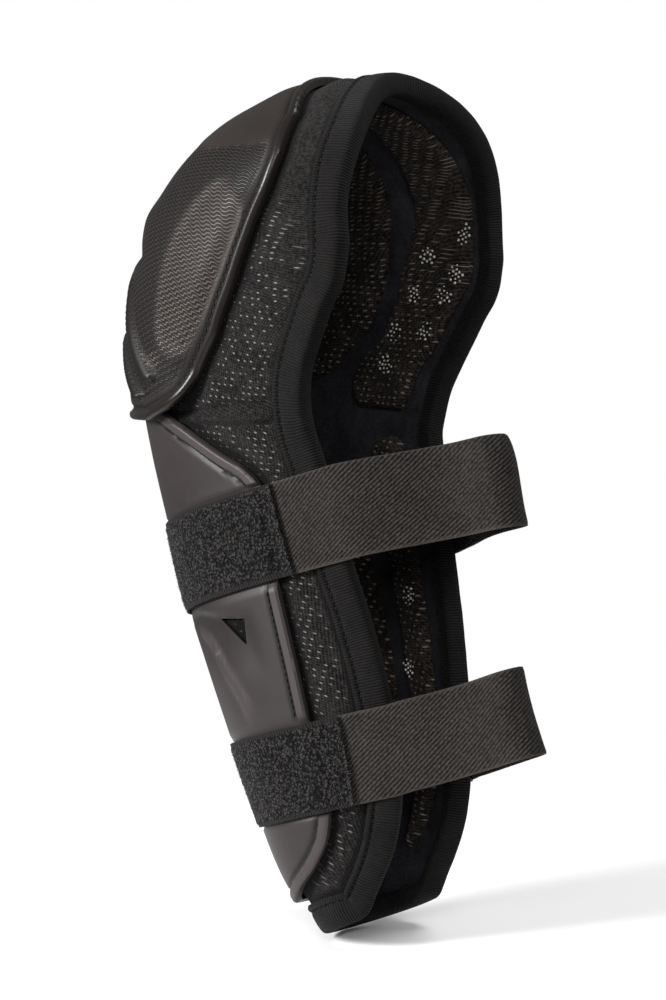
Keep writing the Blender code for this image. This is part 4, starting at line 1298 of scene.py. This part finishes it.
def cap_relief(down, across, points, edge):
    """Everything that stands up from or is cut into the cap's dome, with its masks."""
    size = sizes()
    bead = np.sqrt(np.clip(1 - np.square((edge - BEAD_HALF_WIDTH) / BEAD_HALF_WIDTH), 0.0, 1.0))
    groove = bell((edge - CAP_GROOVE_INSET) / 0.0011)
    lift = size.bead_height * bead - CAP_GROOVE_DEPTH * groove
    inside = smooth((edge - 0.0045) / 0.004)
    side = np.abs(across)
    smooth_top = curve_through(SMOOTH_TOP, side)
    above = smooth((smooth_top - down) / 0.012)
    lift = lift + 0.0003 * above * inside
    facet = bent_line(FACET[:3])
    # lit: the painted highlight on the side facet, carried by the facet mask.
    lit = np.zeros_like(edge)
    for sign in (1, -1):
        line = guide_point(facet[:, 0], sign * facet[:, 1])
        reach, share = along_line(points, line)
        half = FACET[3] * np.sqrt(np.clip(1 - np.square(2 * share - 1), 0.0, 1.0)) + 0.001
        flat = smooth((half - reach) / 0.0030) * smooth(share / 0.1) * smooth((1 - share) / 0.1)
        lift = lift - size.facet_depth * flat * inside
        lit = np.maximum(lit, flat * inside)
    # A painted glint beside the claws joins the facet's painted highlight.
    glint_distance = np.linalg.norm(points - guide_point(0.450, 0.525), axis=-1)
    lit = np.maximum(lit, smooth(1.3 - glint_distance / 0.0045))
    claws = np.maximum(claw_relief(points, 1), claw_relief(points, -1))
    lift = lift + size.claw_height * claws
    away = np.hypot((down - NOSE[0]) / NOSE[2], across / NOSE[3])
    nose = smooth(1 - away)
    notch = bell((down - NOSE[0] - 0.027) / 0.009) * bell((side - 0.26) / 0.10)
    brow = bell((down - NOSE[0] + 0.006) / 0.016) * bell((side - 0.26) / 0.11)
    lift = lift + (NOSE_LIFT * nose + BROW_LIFT * brow - NOTCH_DEPTH * notch) * inside
    waves = inside * (1 - above) * (1 - smooth(claws * 3)) * (1 - smooth((nose - 0.30) / 0.2))
    waves = waves * smooth((edge - 0.0075) / 0.002)
    rim = smooth((0.0044 - edge) / 0.0006)
    # Painted shade in the groove and the notch, carried by the groove mask.
    dark = np.clip(groove * 1.1 + notch * 0.9, 0.0, 1.0) * smooth((edge - 0.0040) / 0.0006)
    lit = lit * (1 - smooth(claws * 3))
    masks = {"waves": waves, "rim": rim, "groove": dark, "facet": lit, "claw": smooth(claws * 2)}
    return lift, masks


def banded(outline, down, rim, rim_steps, inner_steps):
    """Shares across a row from -1 to 1, closer together along both borders."""
    border = np.linspace(0.0, rim, rim_steps + 1)[:-1]
    half = curve_through(outline, down)
    width = half / share_across(down, 1.0)
    edge = border / width
    inner = np.linspace(-(1 - rim / width), 1 - rim / width, inner_steps)
    return np.concatenate([-1 + edge, inner, (1 - edge)[::-1]]) * half


def mould_grid(outline, rows, rim, rim_steps, inner_steps, end_rim_rows):
    """Places of a moulding's grid: rows down and columns across, closer along its borders."""
    first, last = outline[0][0], outline[-1][0]
    top = share_down(first, 0.0, rim)
    low = share_down(last, 0.0, rim)
    downs = np.concatenate([
        first + np.linspace(0, top, end_rim_rows + 1)[:-1],
        np.linspace(first + top, last - low, rows),
        last - np.linspace(low, 0, end_rim_rows + 1)[1:],
    ])
    across = np.array([banded(outline, down, rim, rim_steps, inner_steps) for down in downs])
    return np.repeat(downs[:, None], across.shape[1], axis=1), across


class GUARD_OT_cap(bpy.types.Operator):
    """Makes the moulded knee cap with its rim, claws, facets and sewn groove"""

    bl_idname = "guard.cap"
    bl_label = "Knee cap"

    def execute(self, context):
        finish = cap_finish(tuple(colours().cap))
        down, across = mould_grid(CAP_OUTLINE, 150, 0.0075, 8, 118, 8)
        points = guide_point(down, across)
        edge = distance_to_line(points, CAP_LINE)
        seat = cap_inner_lift(down, across)
        relief, masks = cap_relief(down, across, points, edge)
        inner = on_guard(down, across, seat)
        outer = on_guard(down, across, seat + CAP_THICKNESS + relief)
        piece = layer("cap_shell", outer, inner, (finish,), guide_map(down, across), angle=40)
        for name, values in masks.items():
            set_weights(piece, name, values, down.size)
        add_piece(piece, ("knee_cap",))
        add_piece(self.sewing())
        return {"FINISHED"}

    def sewing(self):
        """Jagged overlock stitches in the groove inside the rim."""
        lines = []
        for sign in (1, -1):
            downs = np.linspace(0.118, 0.505, 40)
            halves = curve_through(CAP_OUTLINE, downs) - share_across(downs, CAP_GROOVE_INSET)
            places = np.stack([downs, sign * halves], axis=1)
            lines.append(walk_line(places, CAP_STITCH_PITCH, self.groove_lift))
        finish = thread_finish("cap_thread", (0.003, 0.0028, 0.0028))
        return stitches("cap_stitches", lines, CAP_STITCH_LENGTH, 0.00042, finish, slant=0.75)

    def groove_lift(self, down, across):
        return cap_inner_lift(down, across) + CAP_THICKNESS - 0.0006


def band_edges(centre):
    half = float(share_down(centre, 0.5, STRAP_WIDTH / 2))
    return centre - half, centre + half


def channel_share(down):
    """1 in a tape's channel across the plate, 0 outside it."""
    inside = np.zeros_like(down)
    for centre in (UPPER_BAND_DOWN, LOWER_BAND_DOWN):
        top, low = band_edges(centre)
        soft = float(share_down(centre, 0.5, 0.0012))
        from_top = smooth((down - top + soft * 2) / soft)
        inside = np.maximum(inside, from_top * smooth((low + soft * 2 - down) / soft))
    return inside


def plate_relief(down, across, points, edge):
    """The plate's border, sewn groove, tape channels, scoops and swooshes, with its masks."""
    size = sizes()
    open_air = smooth((down - 0.530) / 0.004)
    channel = channel_share(down)
    border = smooth((PLATE_BORDER_WIDTH - edge) / 0.0007) * open_air * (1 - channel)
    groove = bell((edge - PLATE_GROOVE_INSET) / 0.0009) * open_air * (1 - channel)
    lift = size.border_height * border - PLATE_GROOVE_DEPTH * groove - CHANNEL_DEPTH * channel
    round_edge = 1 - np.sqrt(np.clip(1 - np.square(1 - np.clip(edge / 0.0012, 0, 1)), 0, 1))
    lift = lift - 0.0010 * round_edge
    inside = smooth((edge - 0.008) / 0.004) * (1 - channel)
    shade = np.zeros_like(edge)
    shine = np.zeros_like(edge)
    side = np.abs(across)
    top = down - curve_through([(a, d) for d, a in SCOOP_LINE], side)
    below = down - curve_through([(a, d) for d, a in SWOOSH_LINE[:4]], side)
    lateral = smooth((side - 0.24) / 0.10) * smooth((0.66 - side) / 0.06)
    for sign in (1, -1):
        swoosh = np.array(SWOOSH_LINE)
        rim = guide_point(swoosh[:, 0], sign * swoosh[:, 1])
        reach, share = along_line(points, rim)
        beside = np.where(sign * across > 0, 1.0, 0.0)
        dish = smooth(top / 0.006) * smooth((0.052 - top) / 0.030) * lateral * beside
        lift = lift - DISH_DEPTH * dish * inside
        ledge = smooth(-below / 0.004) * smooth((side - 0.20) / 0.12)
        ledge = ledge * smooth((0.50 - side) / 0.05) * smooth(top / 0.004) * beside
        lift = lift - LEDGE_DEPTH * ledge * inside
        ridge = bell(reach / 0.0024) * smooth((1 - share) / 0.15) * smooth(share / 0.1) * beside
        lift = lift + SWOOSH_HEIGHT * ridge * inside
        hollow = dish * inside * (0.45 + 0.55 * smooth((0.030 - top) / 0.025))
        shade = np.maximum(shade, np.clip(hollow - ridge, 0.0, 1.0))
        # Painted highlight along the swoosh ridge.
        shine = np.maximum(shine, ridge * inside)
    lift = np.maximum(lift, 0.0009 - PLATE_THICKNESS)
    # Painted shade in the sewn groove.
    groove = np.clip(groove * 1.15, 0, 1)
    # The border mask also carries the swoosh ridges' painted highlight.
    return lift, {"groove": groove, "border": np.maximum(border, shine), "shade": shade}


class GUARD_OT_plate(bpy.types.Operator):
    """Makes the moulded shin plate with its border, channels, scoops and vents"""

    bl_idname = "guard.plate"
    bl_label = "Shin plate"

    def execute(self, context):
        finish = plate_finish(tuple(colours().plate))
        down, across = mould_grid(PLATE_OUTLINE, 176, 0.0078, 8, 96, 8)
        points = guide_point(down, across)
        edge = distance_to_line(points, PLATE_LINE)
        relief, masks = plate_relief(down, across, points, edge)
        inner = on_guard(down, across, np.full(down.shape, SEAT_GAP))
        outer = on_guard(down, across, SEAT_GAP + PLATE_THICKNESS + relief)
        piece = layer("plate_shell", outer, inner, (finish,), guide_map(down, across), angle=40)
        for name, values in masks.items():
            set_weights(piece, name, values, down.size)
        for sign in (1, -1):
            self.cut_vent(piece, sign)
        finish_shape(piece, 40)
        add_piece(piece, ("shin_plate",))
        add_piece(self.sewing())
        return {"FINISHED"}

    def cut_vent(self, piece, sign):
        """A three-cornered hole with rounded corners, right through the plate."""
        corners = np.array([on_guard(d, sign * a, 0.002) for d, a in VENT])
        place = np.mean(VENT, axis=0)
        normal = Vector(normal_at(place[0], sign * place[1]))
        bpy.ops.object.select_all(action="DESELECT")
        bpy.ops.mesh.primitive_cylinder_add(vertices=3, radius=1.0, depth=1.0)
        cutter = bpy.context.object
        points = points_of(cutter)
        made = np.empty_like(points)
        for index, point in enumerate(points):
            angle = math.atan2(point[1], point[0])
            corner = int(round((angle % (2 * math.pi)) / (2 * math.pi / 3) + 0.25)) % 3
            made[index] = corners[corner] + np.array(normal) * 0.008 * np.sign(point[2])
        set_points(cutter, made)
        only(cutter)
        bpy.ops.object.mode_set(mode="EDIT")
        bpy.ops.mesh.select_all(action="SELECT")
        bpy.ops.mesh.normals_make_consistent(inside=False)
        bpy.ops.object.mode_set(mode="OBJECT")
        apply(
            cutter, "BEVEL", width=0.0012, segments=3, limit_method="ANGLE",
            angle_limit=math.radians(100),
        )
        apply(piece, "BOOLEAN", operation="DIFFERENCE", solver="EXACT", object=cutter)
        bpy.data.objects.remove(cutter)

    def sewing(self):
        """Dark stitches in the groove inside the border."""
        lines = []
        spans = ((0.545, band_edges(UPPER_BAND_DOWN)[0]),
                 (band_edges(UPPER_BAND_DOWN)[1], band_edges(LOWER_BAND_DOWN)[0]),
                 (band_edges(LOWER_BAND_DOWN)[1], 0.945))
        for sign in (1, -1):
            for start, end in spans:
                downs = np.linspace(start + 0.006, end - 0.006, 24)
                halves = curve_through(PLATE_OUTLINE, downs)
                halves = halves - share_across(downs, PLATE_GROOVE_INSET)
                places = np.stack([downs, sign * halves], axis=1)
                lift = SEAT_GAP + PLATE_THICKNESS - 0.0003
                lines.append(walk_line(places, PLATE_STITCH_PITCH, lift))
        finish = thread_finish("plate_thread", (0.004, 0.0038, 0.0038))
        return stitches("plate_stitches", lines, 0.0022, 0.00036, finish, slant=0.2)


class GUARD_OT_tapes(bpy.types.Operator):
    """Makes the two loop pile tapes that cross the plate, and the hook tabs' finish"""

    bl_idname = "guard.tapes"
    bl_label = "Loop tapes"

    def execute(self, context):
        finish = pile_finish(tuple(colours().tape))
        hooks = hook_finish((0.012, 0.011, 0.011))
        for name, centre in (("upper", UPPER_BAND_DOWN), ("lower", LOWER_BAND_DOWN)):
            self.tape(name, centre, finish)
            tab = frame["nodes"]["hook_tab_" + name]
            for slot in tab.material_slots:
                slot.material = hooks
        return {"FINISHED"}

    def tape(self, name, centre, finish):
        top, low = band_edges(centre)
        downs = np.linspace(top, low, 34)
        acrosses = np.linspace(-TAPE_END, TAPE_END, 236)
        down, across = np.meshgrid(downs, acrosses, indexing="ij")
        points = guide_point(down, across)
        side = (down - top) / (low - top)
        selvedge = smooth((0.055 - np.minimum(side, 1 - side)) / 0.02)
        border = curve_through(PLATE_OUTLINE, down) - share_across(down, 0.0024)
        bump = bell((np.abs(across) - border) / share_across(down, 0.0030))
        sunk = bell((np.abs(across) - border) / share_across(down, 0.0012) - 5.0)
        end = (TAPE_END - np.abs(across)) / share_across(down, 1.0)
        sewn = bell((end - 0.0060) / 0.0012)
        pile = 0.00030 * ripple(points, 0.0016, 4.0) + 0.00022 * ripple(points, 0.0034, 8.0)
        pile = pile * (1 - selvedge)
        lift = TAPE_LIFT + TAPE_THICKNESS + pile - 0.0004 * selvedge + 0.0005 * bump
        lift = lift - 0.0003 * sunk - 0.0005 * sewn
        outer = on_guard(down, across, lift)
        inner = on_guard(down, across, np.full(down.shape, TAPE_LIFT))
        piece = layer("tape_" + name, outer, inner, (finish,), guide_map(down, across))
        set_weights(piece, "selvedge", selvedge, down.size)
        add_piece(piece, ("loop_tape_" + name,))
        add_piece(self.loops(name, top, low))

    def loops(self, name, top, low):
        """Loose loops of the pile, thickest at the cut ends of the tape."""
        chance = np.random.default_rng(17 if name == "upper" else 29)
        length = sizes().fuzz_length
        down = chance.uniform(top + 0.004, low - 0.004, LOOSE_LOOPS)
        across = chance.uniform(-TAPE_END, TAPE_END, LOOSE_LOOPS)
        ends = chance.uniform(top + 0.002, low - 0.002, END_LOOPS)
        sides = np.where(chance.random(END_LOOPS) < 0.5, 1, -1)
        sides = sides * (TAPE_END - np.abs(chance.normal(0, 0.006, END_LOOPS)))
        down = np.concatenate([down, ends])
        across = np.concatenate([across, sides])
        lift = TAPE_LIFT + TAPE_THICKNESS - 0.0001
        spots = on_guard(down, across, np.full(len(down), lift))
        normals = normal_at(down, across)
        frames, scale = [], chance.uniform(0.5, 1.15, len(down))
        for spot, up in zip(spots, normals):
            turn = Matrix.Rotation(chance.uniform(0, 2 * math.pi), 3, Vector(up))
            lean = Vector(up).orthogonal().normalized()
            lean.rotate(turn)
            along = (lean * 0.85 + Vector(up) * chance.uniform(0.1, 0.9)).normalized()
            side = along.cross(Vector(up)).normalized()
            frames.append(((np.array(along), np.array(side), np.array(side.cross(along))), spot))
        bpy.ops.object.select_all(action="DESELECT")
        bpy.ops.mesh.primitive_cone_add(vertices=3, radius1=0.00017, radius2=0.00004, depth=length)
        hair = bpy.context.object
        points = points_of(hair)[:, [2, 0, 1]]
        points[:, 0] += length / 2
        set_points(hair, points)
        finish = thread_finish("pile_fibre", (0.085, 0.080, 0.080), 0.7)
        return copies("tape_loops_" + name, hair, frames, finish, scale)


def smooth_run(points, count):
    """Points evenly spaced on a smooth curve through the given ones."""
    legs = np.sqrt(np.linalg.norm(np.diff(points, axis=0), axis=1))
    knots = np.concatenate([[0], np.cumsum(legs)])
    slopes = np.gradient(points, knots, axis=0)
    fine = np.linspace(0, knots[-1], 2400)
    row = np.clip(np.searchsorted(knots, fine, side="right") - 1, 0, len(knots) - 2)
    width = (knots[row + 1] - knots[row])[:, None]
    part = (fine[:, None] - knots[row][:, None]) / width
    rest = 1 - part
    curve = (
        points[row] * (1 + 2 * part) * rest**2 + width * slopes[row] * part * rest**2
        + points[row + 1] * (3 - 2 * part) * part**2 - width * slopes[row + 1] * rest * part**2
    )
    run = np.concatenate([[0], np.cumsum(np.linalg.norm(np.diff(curve, axis=0), axis=1))])
    marks = np.linspace(0, run[-1], count)
    return np.stack([np.interp(marks, run, curve[:, axis]) for axis in range(3)], axis=1)


def rear_path(down, lift, rear, drop):
    """Half of the loop behind the guard, from a wing's edge to the middle of its bend."""
    section = section_at(down)
    tilt = math.radians(section["fan"])
    along = section["front_y"] * math.cos(tilt) + section["front_z"] * math.sin(tilt)
    end_depth = rear - along - STRAP_BEND_RADIUS
    near = np.array(flat_section(section, 0.97))
    start = np.array(flat_section(section, 1.0))
    leave = (start - near) / np.linalg.norm(start - near)
    start = start + lift * np.array((leave[1], -leave[0]))
    radius = STRAP_BEND_RADIUS + lift
    finish = np.array((radius, end_depth))
    pull = STRAP_PULL * np.linalg.norm(finish - start)
    first = start + leave * pull
    second = finish - np.array((0.0, pull))
    path = []
    for step in np.linspace(0.0, 1.0, 9)[1:]:
        rest = 1 - step
        path.append(
            rest**3 * start + 3 * rest**2 * step * first
            + 3 * rest * step**2 * second + step**3 * finish
        )
    for turn in np.linspace(0.0, math.pi / 2, 5)[1:]:
        path.append(np.array((radius * math.cos(turn), end_depth + radius * math.sin(turn))))
    points = []
    for x, depth in path:
        back = (depth - start[1]) / (end_depth + radius - start[1])
        point = place_in_section(section, x, depth)
        point[2] -= drop * back**1.5
        points.append(point)
    return points


def strap_row(down, extra, rear, drop):
    """One line along a strap, from its sewn start round the back to its far end."""
    near = [on_guard(down, a, STRAP_LIFT + extra) for a in np.linspace(STRAP_START, 1.0, 4)]
    loop = rear_path(down, STRAP_LIFT + extra, rear, drop)
    mirrored = [point * np.array((-1, 1, 1)) for point in loop[-2::-1]]
    far = []
    for across in [*np.linspace(1.0, CLIMB_END, 7), *np.linspace(0.815, FAR_STRAP_END, 5)]:
        climb = smooth((CLIMB_START - across) / (CLIMB_START - CLIMB_END))
        lift = STRAP_LIFT + (OVER_TAB_LIFT - STRAP_LIFT) * climb
        far.append(on_guard(down, -across, lift + extra))
    return np.array(near + loop + mirrored + far)


class GUARD_OT_straps(bpy.types.Operator):
    """Makes the two elastic webbing straps in their closed shape"""

    bl_idname = "guard.straps"
    bl_label = "Elastic straps"

    def execute(self, context):
        finish = web_finish(tuple(colours().strap))
        for name, centre, rear, drop in (
            ("upper", UPPER_BAND_DOWN, UPPER_STRAP_REAR, UPPER_STRAP_DROP),
            ("lower", LOWER_BAND_DOWN, LOWER_STRAP_REAR, LOWER_STRAP_DROP),
        ):
            self.strap(name, centre, rear, drop, finish)
        return {"FINISHED"}

    def strap(self, name, centre, rear, drop, finish):
        top, low = band_edges(centre)
        downs = np.linspace(top, low, 27)
        count = 300
        rows = [strap_row(down, STRAP_THICKNESS / 2, rear, drop) for down in downs]
        middle = np.array([smooth_run(row, count) for row in rows])
        along = unit(np.gradient(middle, axis=1))
        width = unit(np.gradient(middle, axis=0))
        normal = unit(np.cross(width, along))
        side = np.linspace(0.0, 1.0, len(downs))[:, None] * np.ones((1, count))
        edge = np.minimum(side, 1 - side) * STRAP_WIDTH
        selvedge = smooth((0.0014 - edge) / 0.0008)
        wave = 0.00016 * ripple(middle, 0.012, 6.0) * smooth(edge / 0.006)
        half = STRAP_THICKNESS / 2 - 0.0003 * smooth((0.0012 - edge) / 0.0012)
        outer = middle + normal * (half + wave)[..., None]
        inner = middle - normal * (half - wave)[..., None]
        piece = layer("webbing_" + name, outer, inner, (finish,), surface_map(middle), angle=60)
        set_weights(piece, "selvedge", selvedge, middle.shape[0] * middle.shape[1])
        add_piece(piece, ("strap_" + name,))


def pad_grid(table, side, rows, columns):
    """Places of a pad's grid, from its table of rows."""
    downs = np.linspace(table[0][0], table[-1][0], rows)
    start = curve_through(table, downs, 1)
    end = curve_through(table, downs, 2)
    part = np.linspace(0.0, 1.0, columns)
    across = side * (start[:, None] + (end - start)[:, None] * part)
    return np.repeat(downs[:, None], columns, axis=1), across


def swell_pad(piece, base, limit, count):
    """Swells a pad with cloth pressure: its rim and base stay, its crown moves a little at most."""
    group = piece.vertex_groups.new(name="held")
    held = [index for index in range(len(piece.data.vertices)) if index >= count or base[index]]
    group.add(held, 1.0, "REPLACE")
    start = points_of(piece)
    cloth = piece.modifiers.new("cloth", "CLOTH")
    cloth.settings.vertex_group_mass = "held"
    cloth.settings.quality = 4
    cloth.settings.mass = 0.15
    cloth.settings.tension_stiffness = 12
    cloth.settings.compression_stiffness = 12
    cloth.settings.shear_stiffness = 5
    cloth.settings.bending_stiffness = 0.4
    cloth.settings.use_pressure = True
    cloth.settings.uniform_pressure_force = 4.0
    cloth.settings.effector_weights.gravity = 0.0
    cloth.collision_settings.use_collision = False
    cloth.point_cache.frame_start = 1
    cloth.point_cache.frame_end = 20
    scene = bpy.context.scene
    for number in range(1, 21):
        scene.frame_set(number)
    only(piece)
    bpy.ops.object.modifier_apply(modifier=cloth.name)
    scene.frame_set(1)
    moved = points_of(piece) - start
    reach = np.linalg.norm(moved, axis=1, keepdims=True)
    capped = start + moved * np.minimum(1.0, limit / np.maximum(reach, 1e-9))
    set_points(piece, capped)
    piece.vertex_groups.clear()


class GUARD_OT_liner(bpy.types.Operator):
    """Makes the soft inner pads, swollen with cloth pressure, under open liner mesh"""

    bl_idname = "guard.liner"
    bl_label = "Liner pads"

    def execute(self, context):
        look = colours()
        # The pale eyelet colour here is a painted highlight that holds against the shade inside.
        finish = knit_finish(
            "liner_mesh", tuple(look.liner), (0.150, 0.128, 0.108), LINER_EYELET_PITCH, 0.80,
            0.00085,
        )
        pads = (
            ("pad_knee", KNEE_PAD, 1, 46, 44, "liner_knee_pad"),
            ("pad_shin", SHIN_PAD, 1, 52, 38, "liner_shin_pad"),
            ("pad_side_left", SIDE_PAD, 1, 60, 22, "liner_side_pad_left"),
            ("pad_side_right", SIDE_PAD, -1, 60, 22, "liner_side_pad_right"),
            ("pad_calf_left", CALF_PAD, 1, 56, 12, "liner_calf_pad_left"),
            ("pad_calf_right", CALF_PAD, -1, 56, 12, "liner_calf_pad_right"),
        )
        for name, table, side, rows, columns, node in pads:
            self.pad(name, table, side, rows, columns, node, finish)
        return {"FINISHED"}

    def pad(self, name, table, side, rows, columns, node, finish):
        size = sizes()
        down, across = pad_grid(table, side, rows, columns)
        points = guide_point(down, across)
        rim = np.concatenate([points[0], points[1:, -1], points[-1, -2::-1], points[-2::-1, 0]])
        edge = distance_to_line(points, rim)
        crown = np.sqrt(np.clip(1 - np.square(1 - np.clip(edge / 0.0060, 0, 1)), 0, 1))
        height = 0.0003 + size.pad_height * crown
        if side == 1 and name in ("pad_knee", "pad_shin"):
            middle = (table[0][0] + table[-1][0]) / 2
            seam = bell((down - middle) / share_down(down, across, 0.0025))
            height = height * (1 - 0.35 * seam)
        floor = -BODY_WALL - SEAT_GAP
        top = on_guard(down, across, floor - height)
        base = on_guard(down, across, np.full(down.shape, floor))
        # The crown faces inwards, so it is the outer face of a grid that runs the other way.
        order = slice(None, None, -1)
        places = guide_map(down, across)[:, order]
        piece = layer(name, top[:, order], base[:, order], (finish,), places)
        on_rim = (edge < 0.0009)[:, order][::-1].ravel()
        swell_pad(piece, on_rim, size.swell, down.size)
        apply(piece, "SUBSURF", levels=1, render_levels=1)
        finish_shape(piece, 70)
        add_piece(piece, (node,))


class GUARD_OT_dots(bpy.types.Operator):
    """Makes the clusters of clear silicone grip dots on the liner pads"""

    bl_idname = "guard.dots"
    bl_label = "Grip dots"

    def execute(self, context):
        # Pale colour: milky silicone, and a painted highlight.
        finish = dot_finish((0.55, 0.54, 0.52))
        bpy.ops.object.select_all(action="DESELECT")
        bpy.ops.mesh.primitive_uv_sphere_add(segments=8, ring_count=6, radius=0.00075)
        dot = context.object
        points = points_of(dot)
        points[:, 2] *= 0.7
        set_points(dot, points)
        chance = np.random.default_rng(41)
        frames, scale = [], []
        crown = -BODY_WALL - SEAT_GAP - sizes().pad_height - sizes().swell * 0.55
        for sign in (1, -1):
            for down, across in DOT_PLACES:
                centre = on_guard(down, sign * across, crown)
                slopes = slopes_at(down, sign * across)
                down_way, across_way = unit(slopes[0]), unit(slopes[1])
                ring = [(0.0, 0.0)]
                ring += [(0.0021, turn + 0.3) for turn in np.arange(0, 360, 60) * math.pi / 180]
                ring += [(0.0040, turn) for turn in np.arange(0, 360, 45) * math.pi / 180]
                for reach, turn in ring:
                    if chance.random() < 0.12:
                        continue
                    off = reach * (math.cos(turn) * down_way + math.sin(turn) * across_way)
                    d, a = nearest_places(centre + off, np.array(down), np.array(sign * across))
                    up = -normal_at(d, a)
                    side = unit(np.cross(up, down_way))
                    frames.append(((side, np.cross(up, side), up), on_guard(d, a, np.array(crown))))
                    scale.append(chance.uniform(0.55, 1.05))
        piece = copies("grip_dots", dot, frames, finish, scale)
        add_piece(piece)
        return {"FINISHED"}


class GUARD_OT_stage(bpy.types.Operator):
    """Makes the pale floor, the soft lights and the camera"""

    bl_idname = "guard.stage"
    bl_label = "Stage"

    def execute(self, context):
        lowest = float(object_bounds()[0][2])
        bpy.ops.object.select_all(action="DESELECT")
        bpy.ops.mesh.primitive_circle_add(
            vertices=96, radius=6.0, fill_type="NGON", location=(0, 0, lowest - 0.0005)
        )
        floor = context.object
        floor.name = "floor"
        finish = Finish("floor_paper", 0.9, (0.93, 0.93, 0.93), Specular_IOR_Level=0.1)
        grain = finish.noise(finish.place(), 0.05, 2.0)
        finish.colour(finish.blend(grain, (0.92, 0.92, 0.92), (0.94, 0.94, 0.94)))
        far = finish.node("ShaderNodeVectorMath", {"operation": "LENGTH"}, {0: finish.place()})
        share = finish.step(Wire(finish, far.outputs["Value"]), 0.22, 0.46)
        clear = finish.node("ShaderNodeBsdfTransparent")
        mixed = finish.node(
            "ShaderNodeMixShader", {}, {0: share, 1: finish.shader.outputs[0], 2: clear.outputs[0]}
        )
        finish.feed(finish.tree.nodes["Material Output"].inputs["Surface"], mixed.outputs[0])
        floor.data.materials.append(finish.material)
        floor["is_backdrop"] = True
        self.light("key", (1.20, -0.40, 0.30), 0.40, 36.0)
        self.light("side", (0.90, 0.75, 0.30), 0.55, 7.0)
        self.light("back", (-0.35, 0.60, 1.10), 0.60, 12.0)
        self.light("fill", (-1.10, -0.60, 0.15), 0.60, 5.0)
        world = bpy.data.worlds.new("studio")
        context.scene.world = world
        world.use_nodes = True
        nodes, links = world.node_tree.nodes, world.node_tree.links
        seen = nodes["Background"]
        seen.inputs["Color"].default_value = (1, 1, 1, 1)
        soft = nodes.new("ShaderNodeBackground")
        soft.inputs["Color"].default_value = (1, 1, 1, 1)
        soft.inputs["Strength"].default_value = 0.20
        rays = nodes.new("ShaderNodeLightPath")
        mixed = nodes.new("ShaderNodeMixShader")
        links.new(rays.outputs["Is Camera Ray"], mixed.inputs[0])
        links.new(soft.outputs[0], mixed.inputs[1])
        links.new(seen.outputs[0], mixed.inputs[2])
        links.new(mixed.outputs[0], nodes["World Output"].inputs["Surface"])
        context.scene.view_settings.view_transform = "Standard"
        self.camera(context)
        return {"FINISHED"}

    def light(self, name, place, size, power):
        data = bpy.data.lights.new(name, "AREA")
        data.energy = power
        data.size = size
        lamp = bpy.data.objects.new(name, data)
        bpy.context.scene.collection.objects.link(lamp)
        lamp.location = place
        aim = Vector((0.0, 0.03, -0.08)) - Vector(place)
        lamp.rotation_euler = aim.to_track_quat("-Z", "Y").to_euler()

    def camera(self, context):
        azimuth, elevation, distance = math.radians(130), math.radians(2), 0.95
        target = Vector((0.0, 0.045, -0.092))
        back = Vector((
            math.sin(azimuth) * math.cos(elevation), -math.cos(azimuth) * math.cos(elevation),
            math.sin(elevation),
        ))
        data = bpy.data.cameras.new("camera")
        data.sensor_width = 36.0
        data.lens = 74.3
        camera = bpy.data.objects.new("camera", data)
        context.scene.collection.objects.link(camera)
        camera.location = target + back * distance
        camera.rotation_euler = (-back).to_track_quat("-Z", "Y").to_euler()
        data.clip_start = 0.01
        data.clip_end = 50.0
        context.scene.camera = camera


class GUARD_PT_panel(bpy.types.Panel):
    bl_label = "Knee guard"
    bl_idname = "GUARD_PT_panel"
    bl_space_type = "VIEW_3D"
    bl_region_type = "UI"
    bl_category = "Knee guard"

    def draw(self, context):
        for group in (context.scene.guard_sizes, context.scene.guard_colours):
            box = self.layout.box()
            for name in group.__annotations__:
                box.prop(group, name)
        for step in STEPS:
            self.layout.operator("guard." + step)


STEPS = ("body", "binding", "liner", "dots", "cap", "plate", "tapes", "straps", "stage")
CLASSES = (
    GuardSizes, GuardColours, GUARD_OT_body, GUARD_OT_binding, GUARD_OT_liner, GUARD_OT_dots,
    GUARD_OT_cap, GUARD_OT_plate, GUARD_OT_tapes, GUARD_OT_straps, GUARD_OT_stage, GUARD_PT_panel,
)


def register():
    for item in CLASSES:
        bpy.utils.register_class(item)
    bpy.types.Scene.guard_sizes = bpy.props.PointerProperty(type=GuardSizes)
    bpy.types.Scene.guard_colours = bpy.props.PointerProperty(type=GuardColours)


def unregister():
    del bpy.types.Scene.guard_colours
    del bpy.types.Scene.guard_sizes
    for item in reversed(CLASSES):
        bpy.utils.unregister_class(item)


def main():
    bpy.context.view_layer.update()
    for item in [*bpy.context.scene.objects]:
        if item.name in ("Cube", "Light", "Camera"):
            bpy.data.objects.remove(item)
    register()
    for step in STEPS:
        getattr(bpy.ops.guard, step)()


if __name__ == "__main__":
    main()
